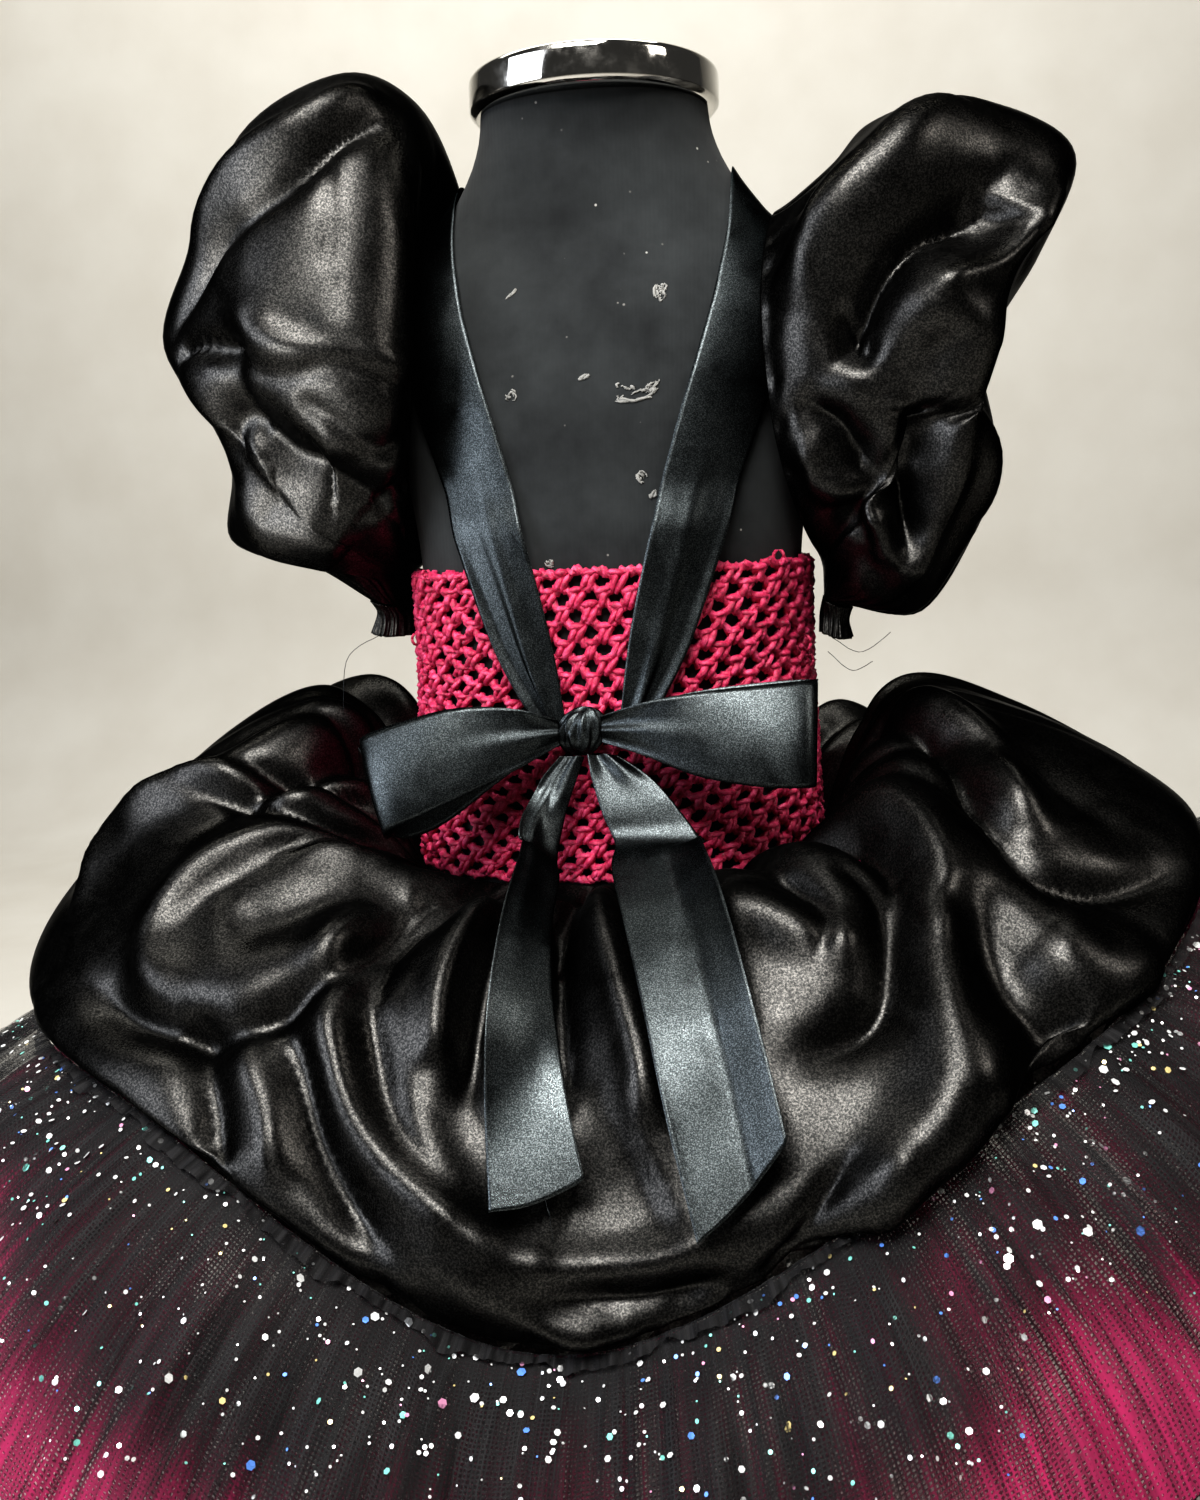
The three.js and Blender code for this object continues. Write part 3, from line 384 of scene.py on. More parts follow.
def turned(
    name: str,
    profile: Sequence[tuple[float, float]],
    sides: int,
    centre: tuple[float, float],
    lift: float,
) -> bpy.types.Object:
    """A turned body from a profile of radius and height, closed where the radius is 0.

    Args:
        name: the piece's name.
        profile: radius and height of each point, bottom to top outside.
        sides: how many sides it has.
        centre: where its axis stands.
        lift: how high its zero height is.

    Returns:
        The object.
    """
    turn = 2 * math.pi * np.arange(sides) / sides
    rows = [
        np.stack([centre[0] + r * np.cos(turn), centre[1] + r * np.sin(turn), np.full(sides, lift + h)], -1)
        for r, h in profile
        if r > 0
    ]
    ends = [[*centre, lift + profile[0][1]], [*centre, lift + profile[-1][1]]]
    points = np.concatenate([*rows, ends])
    faces = sheet_faces(len(rows), sides, True)[0].tolist()
    foot, top, end = len(rows) * sides, len(rows) * sides + 1, (len(rows) - 1) * sides
    for i in range(sides):
        faces.append([foot, (i + 1) % sides, i])
        faces.append([top, end + i, end + (i + 1) % sides])
    made = mesh_object(name, points, faces)
    bevel = made.modifiers.new("soft edges", "BEVEL")
    bevel.width = 0.0008
    bevel.segments = 2
    bevel.limit_method = "ANGLE"
    bevel.angle_limit = math.radians(25)
    return made


# ---------------------------------------------------------------- finishes


def linear(colour: str) -> tuple[float, float, float, float]:
    """The linear colour of an sRGB hex value such as #d81b60.

    Args:
        colour: the hex value.

    Returns:
        Red, green, blue and 1.
    """
    parts = [int(colour[k : k + 2], 16) / 255 for k in (1, 3, 5)]
    made = [c / 12.92 if c <= 0.04045 else ((c + 0.055) / 1.055) ** 2.4 for c in parts]
    return (made[0], made[1], made[2], 1.0)


class Node(Enum):
    """The kinds of shader node in use."""

    PLACE = "ShaderNodeTexCoord"
    NOISE = "ShaderNodeTexNoise"
    CELLS = "ShaderNodeTexVoronoi"
    WAVE = "ShaderNodeTexWave"
    STRETCH = "ShaderNodeMapping"
    RANGE = "ShaderNodeMapRange"
    MATH = "ShaderNodeMath"
    RAMP = "ShaderNodeValToRGB"
    BUMP = "ShaderNodeBump"
    ATTRIBUTE = "ShaderNodeAttribute"
    MIX = "ShaderNodeMix"
    SURFACE = "ShaderNodeBsdfPrincipled"
    OUTPUT = "ShaderNodeOutputMaterial"


# The ends of a range node's input and output.
ENDS = ("From Min", "From Max", "To Min", "To Max")


def add(
    tree: bpy.types.NodeTree,
    kind: Node,
    settings: dict | None = None,
    links: dict | None = None,
    stops: Sequence[tuple[float, str]] = (),
) -> bpy.types.Node:
    """Adds one shader node.

    Args:
        tree: the material's nodes.
        kind: the kind of node.
        settings: its own settings, and values of its input sockets by name or number.
        links: for each input socket, the node and output that feed it.
        stops: on a colour ramp, the position and sRGB hex of each stop.

    Returns:
        The node.
    """
    made = tree.nodes.new(kind.value)
    for key, value in (settings or {}).items():
        if isinstance(key, int) or key not in made.bl_rna.properties:
            made.inputs[key].default_value = value
        else:
            setattr(made, key, value)
    for key, (source, output) in (links or {}).items():
        tree.links.new(source.outputs[output], made.inputs[key])
    if stops:
        bar = made.color_ramp.elements
        while len(bar) < len(stops):
            bar.new(0.5)
        for element, (place, colour) in zip(bar, stops):
            element.position = place
            element.color = linear(colour)
    return made


class Finish:
    """A finish that makes one material, once."""

    title: str

    def material(self) -> bpy.types.Material:
        """The material, made on its first use.

        Returns:
            The material.
        """
        found = bpy.data.materials.get(self.title)
        if found:
            return found
        made = bpy.data.materials.new(self.title)
        made.use_nodes = True
        tree = made.node_tree
        tree.nodes.clear()
        surface = self.surface(tree)
        add(tree, Node.OUTPUT, None, {"Surface": (surface, 0)})
        return made

    def surface(self, tree: bpy.types.NodeTree) -> bpy.types.Node:
        """The node whose first output is the surface."""
        raise NotImplementedError

    def dress(self, piece: bpy.types.Object) -> None:
        """Puts the material on a piece."""
        piece.data.materials.clear()
        piece.data.materials.append(self.material())


@dataclass(frozen=True)
class Satin(Finish):
    """Woven polyester satin: long floats of bright filament, so broad grainy highlights on near black."""

    title: str
    dull: str
    middle: str
    gleam: str
    rim: str
    roughness: float
    grain_mm: float = 0.8
    wave_mm: float = 26.0

    def surface(self, tree: bpy.types.NodeTree) -> bpy.types.Node:
        """Near-black filament whose gloss changes from float to float.

        Args:
            tree: the material's nodes.

        Returns:
            The surface.
        """
        place = add(tree, Node.PLACE)
        at = {"Vector": (place, "Object")}
        grain = add(tree, Node.NOISE, {"Scale": 1000 / self.grain_mm, "Detail": 2.0, "Roughness": 0.75}, at)
        wide = add(
            tree,
            Node.NOISE,
            {"Scale": 1000 / self.wave_mm, "Detail": 4.0, "Roughness": 0.55, "Distortion": 1.2},
            at,
        )
        floats = add(
            tree,
            Node.RAMP,
            None,
            {"Fac": (grain, "Fac")},
            [(0.36, self.dull), (0.5, self.middle), (0.64, self.gleam)],
        )
        rough = add(
            tree,
            Node.RANGE,
            dict(zip(ENDS, (0.3, 0.7, self.roughness + 0.07, self.roughness - 0.07))),
            {"Value": (wide, "Fac")},
        )
        soft = add(tree, Node.BUMP, {"Strength": 0.07, "Distance": 0.0016}, {"Height": (wide, "Fac")})
        fine = add(
            tree,
            Node.BUMP,
            {"Strength": 0.3, "Distance": 0.0002},
            {"Height": (grain, "Fac"), "Normal": (soft, "Normal")},
        )
        return add(
            tree,
            Node.SURFACE,
            {
                "Metallic": 1.0,
                "Specular Tint": linear(self.rim),
                "Anisotropic": 0.4,
                "Anisotropic Rotation": 0.25,
            },
            {"Base Color": (floats, "Color"), "Roughness": (rough, "Result"), "Normal": (fine, "Normal")},
        )


@dataclass(frozen=True)
class Yarn(Finish):
    """Spun acrylic yarn: matt twisted plies with a soft bright fuzz."""

    title: str
    # shade and light are painted shade and painted highlight, darker and paler copies of the middle pink.
    shade: str
    middle: str
    light: str
    fibre_mm: float = 0.67
    ply_mm: float = 3.0

    def surface(self, tree: bpy.types.NodeTree) -> bpy.types.Node:
        """Pink plies with painted highlight and painted shade: paler and darker copies of the pink laid at
        random in ply-sized lumps, with fibre-fine relief.

        Args:
            tree: the material's nodes.

        Returns:
            The surface.
        """
        place = add(tree, Node.PLACE)
        at = {"Vector": (place, "Object")}
        fibre = add(tree, Node.NOISE, {"Scale": 1000 / self.fibre_mm, "Detail": 3.0, "Roughness": 0.7}, at)
        lumps = add(tree, Node.NOISE, {"Scale": 1000 / self.ply_mm, "Detail": 2.0}, at)
        both = add(
            tree, Node.MATH, {"operation": "MULTIPLY_ADD", 1: 0.45}, {0: (fibre, "Fac"), 2: (lumps, "Fac")}
        )
        # Painted highlight and painted shade: the noise lays pale and dark pink over the plies.
        colour = add(
            tree,
            Node.RAMP,
            None,
            {"Fac": (both, "Value")},
            [(0.5, self.shade), (0.72, self.middle), (0.95, self.light)],
        )
        bump = add(tree, Node.BUMP, {"Strength": 0.7, "Distance": 0.0006}, {"Height": (fibre, "Fac")})
        return add(
            tree,
            Node.SURFACE,
            {
                "Roughness": 0.46,
                "Specular IOR Level": 0.75,
                "Sheen Weight": 0.15,
                "Sheen Roughness": 0.4,
                "Sheen Tint": linear("#ff9cc0"),
            },
            {"Base Color": (colour, "Color"), "Normal": (bump, "Normal")},
        )


@dataclass(frozen=True)
class Net(Finish):
    """Nylon tulle: a fine hexagon net, mostly air, so that layers show through each other."""

    title: str
    # light is a paler thread colour for the streaks, a painted sheen.
    thread: str
    light: str
    cover: float
    streak: float = 0.35
    seam: float = 0.16
    frayed: float = 0.05
    cell_mm: float = 1.6
    pleat_mm: tuple[float, float] = (3.85, 111.0)
    patch_mm: float = 71.0

    def surface(self, tree: bpy.types.NodeTree) -> bpy.types.Node:
        """Thread where the net is, clear between, denser along its gathered streaks and paler there, a
        painted sheen.

        Args:
            tree: the material's nodes.

        Returns:
            The surface.
        """
        place = add(tree, Node.PLACE)
        at = {"Vector": (place, "Object")}
        spread = {"Vector": (place, "UV")}
        # Real cells are about 1 mm; they are drawn 1.6 mm wide so that their grain shows.
        cells = add(
            tree,
            Node.CELLS,
            {"feature": "DISTANCE_TO_EDGE", "Scale": 1000 / self.cell_mm, "Randomness": 0.35},
            spread,
        )
        mesh = add(tree, Node.RANGE, dict(zip(ENDS, (0.05, 0.3, 1.0, 0.25))), {"Value": (cells, "Distance")})
        stretch = add(
            tree, Node.STRETCH, {"Scale": (1000 / self.pleat_mm[0], 1000 / self.pleat_mm[1], 1.0)}, spread
        )
        lines = add(
            tree, Node.NOISE, {"Scale": 1.0, "Detail": 3.0, "Roughness": 0.6}, {"Vector": (stretch, "Vector")}
        )
        dense = add(
            tree,
            Node.RANGE,
            dict(zip(ENDS, (0.35, 0.7, self.cover - self.streak * 0.5, self.cover + self.streak))),
            {"Value": (lines, "Fac")},
        )
        # The gathered seam is solid black, and the free edge frays away in streaks.
        edge = add(tree, Node.ATTRIBUTE, {"attribute_name": "fray"})
        seam = add(tree, Node.RANGE, dict(zip(ENDS, (0.0, self.seam, 1.0, 0.0))), {"Value": (edge, "Fac")})
        whole = add(tree, Node.MATH, {"operation": "MAXIMUM"}, {0: (mesh, "Result"), 1: (seam, "Result")})
        ragged = add(tree, Node.MATH, {"operation": "MULTIPLY_ADD", 1: 1.5, 2: -0.75}, {0: (lines, "Fac")})
        far = add(tree, Node.MATH, {"operation": "ADD"}, {0: (edge, "Fac"), 1: (ragged, "Value")})
        fade = add(
            tree, Node.RANGE, dict(zip(ENDS, (0.62, 1.0, 1.0, self.frayed))), {"Value": (far, "Value")}
        )
        held = add(tree, Node.MATH, {"operation": "MULTIPLY"}, {0: (dense, "Result"), 1: (fade, "Result")})
        patches = add(tree, Node.NOISE, {"Scale": 1000 / self.patch_mm, "Detail": 2.0}, at)
        thin = add(tree, Node.RANGE, dict(zip(ENDS, (0.36, 0.56, 0.6, 1.15))), {"Value": (patches, "Fac")})
        laid = add(tree, Node.MATH, {"operation": "MULTIPLY"}, {0: (held, "Value"), 1: (thin, "Result")})
        alpha = add(
            tree,
            Node.MATH,
            {"operation": "MULTIPLY", "use_clamp": True},
            {0: (whole, "Value"), 1: (laid, "Value")},
        )
        # Painted sheen: the thread is paler along the denser streaks.
        colour = add(tree, Node.RAMP, None, {"Fac": (lines, "Fac")}, [(0.3, self.thread), (0.75, self.light)])
        return add(
            tree,
            Node.SURFACE,
            {"Roughness": 0.7, "Sheen Weight": 0.04, "Sheen Roughness": 0.5, "Specular IOR Level": 0.3},
            {"Base Color": (colour, "Color"), "Alpha": (alpha, "Value")},
        )


@dataclass(frozen=True)
class Jersey(Finish):
    """Knitted cotton jersey stretched over the form: matt and clouded, with fine ribs and pale lint."""

    title: str
    base: str
    worn: str
    lint: str
    rib_mm: float = 1.85
    cloud_mm: float = 45.0
    speck_mm: float = 7.7
    patch_mm: float = 16.7

    def surface(self, tree: bpy.types.NodeTree) -> bpy.types.Node:
        """Charcoal knit, clouded, with pale specks.

        Args:
            tree: the material's nodes.

        Returns:
            The surface.
        """
        # Real ribs are about 0.9 mm wide. They are drawn twice as wide so that they show.
        place = add(tree, Node.PLACE)
        at = {"Vector": (place, "Object")}
        cloud = add(tree, Node.NOISE, {"Scale": 1000 / self.cloud_mm, "Detail": 6.0, "Roughness": 0.65}, at)
        knit = add(
            tree,
            Node.WAVE,
            {
                "wave_type": "BANDS",
                "bands_direction": "X",
                "Scale": 100 * math.pi / self.rib_mm,
                "Distortion": 1.5,
                "Detail": 2.0,
            },
            at,
        )
        body = add(tree, Node.RAMP, None, {"Fac": (cloud, "Fac")}, [(0.3, self.base), (0.75, self.worn)])
        specks = add(
            tree, Node.CELLS, {"feature": "F1", "Scale": 1000 / self.speck_mm, "Randomness": 1.0}, at
        )
        dots = add(tree, Node.RANGE, dict(zip(ENDS, (0.05, 0.09, 0.8, 0.0))), {"Value": (specks, "Distance")})
        few = add(tree, Node.NOISE, {"Scale": 1000 / self.patch_mm, "Detail": 2.0}, at)
        here = add(tree, Node.RANGE, dict(zip(ENDS, (0.56, 0.66, 0.0, 1.0))), {"Value": (few, "Fac")})
        lint = add(tree, Node.MATH, {"operation": "MULTIPLY"}, {0: (dots, "Result"), 1: (here, "Result")})
        colour = add(
            tree,
            Node.MIX,
            {"data_type": "RGBA", 7: linear(self.lint)},
            {0: (lint, "Value"), 6: (body, "Color")},
        )
        bump = add(tree, Node.BUMP, {"Strength": 0.12, "Distance": 0.0003}, {"Height": (knit, "Fac")})
        return add(
            tree,
            Node.SURFACE,
            {"Roughness": 0.95, "Sheen Weight": 0.05, "Sheen Roughness": 0.6, "Specular IOR Level": 0.16},
            {"Base Color": (colour, 2), "Normal": (bump, "Normal")},
        )


@dataclass(frozen=True)
class Chrome(Finish):
    """Bright chromium plate: a sharp mirror of the room, with faint handling marks."""

    title: str
    colour: str
    roughness: float
    smear_mm: float = 14.0

    def surface(self, tree: bpy.types.NodeTree) -> bpy.types.Node:
        """A mirror with a little smear.

        Args:
            tree: the material's nodes.

        Returns:
            The surface.
        """
        place = add(tree, Node.PLACE)
        at = {"Vector": (place, "Object")}
        smear = add(tree, Node.NOISE, {"Scale": 1000 / self.smear_mm, "Detail": 5.0, "Roughness": 0.7}, at)
        rough = add(
            tree,
            Node.RANGE,
            dict(zip(ENDS, (0.4, 0.75, self.roughness, self.roughness + 0.22))),
            {"Value": (smear, "Fac")},
        )
        return add(
            tree,
            Node.SURFACE,
            {"Base Color": linear(self.colour), "Metallic": 1.0},
            {"Roughness": (rough, "Result")},
        )


@dataclass(frozen=True)
class Spangle(Finish):
    """Pressed foil dot: a flat bright flake that glints when it faces a light."""

    title: str
    colour: str
    metallic: float = 0.35
    tone_mm: float = 2.5

    def surface(self, tree: bpy.types.NodeTree) -> bpy.types.Node:
        """A pale flake with a slight change of tone.

        Args:
            tree: the material's nodes.

        Returns:
            The surface.
        """
        place = add(tree, Node.PLACE)
        at = {"Vector": (place, "Object")}
        tone = add(tree, Node.NOISE, {"Scale": 1000 / self.tone_mm, "Detail": 1.0}, at)
        rough = add(tree, Node.RANGE, dict(zip(ENDS, (0.3, 0.7, 0.12, 0.4))), {"Value": (tone, "Fac")})
        return add(
            tree,
            Node.SURFACE,
            {"Base Color": linear(self.colour), "Metallic": self.metallic, "Coat Weight": 0.6},
            {"Roughness": (rough, "Result")},
        )


@dataclass(frozen=True)
class Plaster(Finish):
    """Painted wall and floor of the studio: warm pale grey with a faint mottling."""

    title: str
    colour: str
    shade: str
    mottle_mm: float = 165.0

    def surface(self, tree: bpy.types.NodeTree) -> bpy.types.Node:
        """Matt paint over slightly uneven plaster.

        Args:
            tree: the material's nodes.

        Returns:
            The surface.
        """
        place = add(tree, Node.PLACE)
        at = {"Vector": (place, "Object")}
        mottle = add(tree, Node.NOISE, {"Scale": 1000 / self.mottle_mm, "Detail": 6.0}, at)
        colour = add(tree, Node.RAMP, None, {"Fac": (mottle, "Fac")}, [(0.3, self.shade), (0.7, self.colour)])
        return add(
            tree,
            Node.SURFACE,
            {"Roughness": 0.85, "Specular IOR Level": 0.2},
            {"Base Color": (colour, "Color")},
        )


# Each finish is given from its dullest or darkest part to its brightest.
SATIN = Satin("polyester satin, black", "#1e1e1e", "#2f2f2e", "#4b4a48", "#0c0c0c", 0.35)
RIBBON = Satin("satin ribbon, black", "#222526", "#313536", "#595f61", "#101212", 0.33, 0.5)
# The yarn's darkest and palest pinks are painted shade and painted highlight.
CROCHET = Yarn("acrylic yarn, hot pink", "#860832", "#c8144f", "#f2598a")
# Each net's second colour is a painted sheen along its streaks.
GLITTER_NET = Net("glitter tulle, black", "#030304", "#0f0e11", 0.6, 0.6)
PINK_NET = Net("tulle, hot pink", "#42081f", "#b01c5a", 1.5, 1.3, 0.02, 0.85)
BLACK_NET = Net("tulle, black", "#0a0a09", "#1d1b18", 1.4, 0.8, 0.02, 0.85)
JERSEY = Jersey("cotton jersey, black", "#191b1c", "#333637", "#b9b7b0")
CHROME = Chrome("chromium plate", "#d8d6d0", 0.05)
SPANGLES = (
    Spangle("foil dot, silver", "#f4f6f6"),
    Spangle("foil dot, aqua", "#8fe6d8"),
    Spangle("foil dot, rose", "#f3a9cf"),
    Spangle("foil dot, gold", "#f0dc9a"),
    Spangle("foil dot, blue", "#6fa4ff"),
)
GLUE = Jersey("dried glue", "#6d6d6a", "#a9a9a5", "#e0dfda")
WALL = Plaster("wall paint, warm grey", "#cfcdc7", "#c8c5be")


class Record(Enum):
    """Names of the material slots."""

    JERSEY = "jersey"
    CHROME = "chrome"
    CROCHET = "crochet"
    SATIN = "satin"
    RIBBON = "ribbon"
    GLITTER = "glitter_net"
    PINK = "pink_net"
    BLACK = "black_net"


def take_place(piece: bpy.types.Object, finish: Finish, record: Record, *nodes: str) -> bpy.types.Object:
    """Dresses a piece, lets it ride on the one body and stand for its solids.

    Args:
        piece: the finished object.
        finish: what it is made of.
        record: not used.
        nodes: the solids that it stands for.

    Returns:
        The piece.
    """
    if not piece.data.materials:
        finish.dress(piece)
    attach(piece, "root")
    if nodes:
        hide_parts(*nodes)
    log.info("%s: %d faces", piece.name, len(piece.data.polygons))
    return piece


# ---------------------------------------------------------------- the form


# The form's sections: height over the waist, half width, half depth and how far forward.
FORM_SECTIONS = (
    (-170, 90, 72, 0),
    (-164, 97, 78, 0),
    (-140, 102, 82, 0),
    (-90, 101, 82, 0),
    (-40, 94, 76, 0),
    (0, 90, 73, 0),
    (45, 88, 71, 0),
    (90, 86.5, 69.5, 0),
    (135, 87, 68.5, 0),
    (175, 92, 66, 0),
    (210, 100, 61, 0),
    (238, 105, 54, 1),
    (258, 99, 47, 2),
    (272, 86, 43, 3),
    (286, 72, 42, 4),
    (303, 60, 43, 4),
    (318, 53, 44, 3),
    (330.6, 50.5, 46, 2),
)


@dataclass
class DressForm:
    """The jersey torso with its cap, pole and base."""

    power: float = 2.3
    # Points round the torso, and its rows of points up to the lower edge's round and above it.
    columns: int = 112
    rows: tuple[int, int] = (10, 92)
    # Radius and height of each point of the metal parts.
    cap: Rows = ((0, 0), (53, 0), (55.5, 2.5), (55.5, 14.5), (54.6, 16.3), (53, 17), (0, 17))
    pole: Rows = ((0, 0.4), (12.5, 0.4), (12.5, 300.6), (0, 300.6))
    base: Rows = (
        (0, 0),
        (150, 0),
        (150, 6),
        (148.8, 8.1),
        (146, 9),
        (28, 9),
        (24, 12),
        (21, 25),
        (12.9, 25),
        (12.9, 9),
        (0, 9),
    )
    sections: Array = field(default_factory=lambda: np.array(FORM_SECTIONS, float))

    def section(self, up: Array) -> Array:
        """Half width, half depth and forward of the form's section at each height above the waist.

        Args:
            up: heights in millimetres.

        Returns:
            The three sizes of the section at each height.
        """
        rows = self.sections
        last = len(rows) - 1
        height = np.clip(up, rows[0, 0], rows[last, 0])
        i = np.clip(np.searchsorted(rows[:, 0], height, side="left") - 1, 0, last - 1)
        x = ((height - rows[i, 0]) / (rows[i + 1, 0] - rows[i, 0]))[..., None]
        near = [rows[np.clip(i + k, 0, last), 1:] for k in (-1, 0, 1, 2)]
        return cubic(near[0], near[1], near[2], near[3], x)

    def radius(self, azimuth: Array, up: Array, out: Array | float) -> Array:
        """How far the form's face, moved out by some way, is from its middle in each direction.

        Args:
            azimuth: directions from the back, in radians.
            up: heights above the waist.
            out: how far the face is moved out.

        Returns:
            The distances.
        """
        part = self.section(np.asarray(up, float))
        x = np.abs(np.sin(azimuth)) / (part[..., 0] + out)
        y = np.abs(np.cos(azimuth)) / (part[..., 1] + out)
        return (x**self.power + y**self.power) ** (-1 / self.power)

    def point(self, azimuth: Array, up: Array, out: Array | float = 0.0) -> Array:
        """Points round the form, at azimuths from the back in radians and heights above the waist.

        Args:
            azimuth: directions from the back, in radians.
            up: heights above the waist.
            out: how far off the form's face.

        Returns:
            The points.
        """
        azimuth, up = np.broadcast_arrays(np.asarray(azimuth, float), np.asarray(up, float))
        radius = self.radius(azimuth, up, out)
        forward = self.section(up)[..., 2]
        return np.stack([radius * np.sin(azimuth), forward - radius * np.cos(azimuth), WAIST + up], -1)

    def measure(self, x: Array, y: Array, up: Array, out: Array) -> Array:
        """Above 1 outside the form grown by some distance, below 1 inside it.

        Args:
            x: distances across.
            y: distances forward.
            up: heights above the waist.
            out: how far the form is grown.

        Returns:
            The measure at each place.
        """
        part = self.section(up)
        side = np.abs(x) / (part[..., 0] + out)
        deep = np.abs(y - part[..., 2]) / (part[..., 1] + out)
        return side**self.power + deep**self.power

    def build(self) -> None:
        """Makes the torso, cap, pole and base."""
        around_form = np.linspace(0, 2 * math.pi, self.columns, endpoint=False)
        low, high = (np.linspace(-170, -150, self.rows[0]), np.linspace(-145, 330.6, self.rows[1]))
        heights = np.concatenate([low, high])
        grid = self.point(around_form[None, :], heights[:, None])
        rows, columns = grid.shape[:2]
        points = np.concatenate([grid.reshape(-1, 3), [[0, 0, WAIST - 170], [0, 2, WAIST + 330.6]]])
        faces = sheet_faces(rows, columns, True)[0].tolist()
        end = (rows - 1) * columns
        for i in range(columns):
            right = (i + 1) % columns
            faces.append([rows * columns, right, i])
            faces.append([rows * columns + 1, end + i, end + right])
        torso = mesh_object("jersey_torso", points, faces)
        take_place(torso, JERSEY, Record.JERSEY, "form_torso")
        cap = turned("cap_of_neck", self.cap, 96, (0, 2), WAIST + 331)
        take_place(cap, CHROME, Record.CHROME, "neck_cap")
        pole = turned("pole", self.pole, 48, (0, 0), 9)
        take_place(pole, CHROME, Record.CHROME, "stand_pole")
        base = turned("base_plate", self.base, 128, (0, 0), 0)
        take_place(base, CHROME, Record.CHROME, "stand_base")


# ---------------------------------------------------------------- skirt


# How far out of the form the skirt's shell is, by direction and by share of the way down.
SHELL_OUT = (
    (6.5, 20, 60, 110, 152, 180, 174),
    (6.5, 18, 52, 105, 156, 190, 183),
    (6.5, 20, 58, 106, 144, 168, 162),
    (6.5, 24, 58, 96, 128, 146, 144),
    (6.5, 20, 58, 102, 138, 160, 157),
    (6.5, 18, 50, 98, 138, 164, 170),
    (6.5, 20, 58, 106, 146, 170, 168),
    (6.5, 22, 60, 104, 140, 162, 158),
)
# How high over the waist it is there.
SHELL_UP = (
    (-1.4, 38, 57, 38, -2, -48, -84),
    (-1.4, 48, 80, 60, 16, -32, -72),
    (-1.4, 10, 22, 6, -26, -50, -60),
    (-1.4, 4, -6, -38, -80, -114, -134),
    (-1.4, 16, 28, 12, -16, -38, -50),
    (-1.4, 45, 71, 58, 38, 20, 4),
    (-1.4, 34, 50, 30, -4, -34, -54),
    (-1.4, 20, 32, 6, -38, -82, -112),
)


@dataclass
class SkirtShell:
    """The smooth shell of skirt and tulle. Reach 0 is the waist, 1 the satin's hem, 2 the tulle's."""

    form: DressForm
    first: float = -135.0
    lip: tuple[float, float, float] = (2.4, -1.3, 0.03)
    out: Array = field(default_factory=lambda: np.array(SHELL_OUT, float))
    up: Array = field(default_factory=lambda: np.array(SHELL_UP, float))
    run_out: Array = field(default_factory=lambda: np.array([92, 90, 88, 78, 88, 92, 92, 88], float))
    run_up: Array = field(default_factory=lambda: np.array([-42, -52, -66, -80, -66, -40, -30, -60], float))

    def point(self, degrees: Array, reach: Array) -> Array:
        """Points of the shell at azimuths in degrees and reaches.

        Args:
            degrees: azimuths from the back.
            reach: 0 at the waist, 1 at the satin's hem, 2 at the tulle's.

        Returns:
            The points.
        """
        degrees, reach = np.broadcast_arrays(np.asarray(degrees, float), np.asarray(reach, float))
        shape = degrees.shape
        s, r = degrees.ravel(), reach.ravel()
        angle = np.radians(s)
        out0, up0, share = self.lip
        fall = np.clip((r - share) / (1 - share), 0, 1)
        near = np.clip(r / share, 0, 1)
        out = around(np.stack([along(row, fall) for row in self.out]), self.first, s)
        up = around(np.stack([along(row, fall) for row in self.up]), self.first, s)
        out = out0 + near * (out - out0)
        up = up0 + near * (up - up0)
        run = np.maximum(r - 1, 0)
        out = out + run * (1.25 - 0.25 * run) * around(self.run_out, self.first, s)
        up = up + run * (0.7 + 0.3 * run) * around(self.run_up, self.first, s)
        up = up + 34 * run * np.exp(-(((s - 104) / 14) ** 2))
        radius = self.form.radius(angle, np.zeros_like(angle), 0.0) + out
        made = np.stack([radius * np.sin(angle), -radius * np.cos(angle), WAIST + up], -1)
        return made.reshape(*shape, 3)

    def normal(self, degrees: Array, reach: Array) -> Array:
        """The shell's outward normals.

        Args:
            degrees: azimuths from the back.
            reach: reaches down the shell.

        Returns:
            Unit normals.
        """
        step = 0.01
        turn = self.point(degrees + 1, reach) - self.point(degrees - 1, reach)
        down = self.point(degrees, reach + step) - self.point(degrees, np.maximum(0, reach - step))
        return unit(np.cross(down, turn))


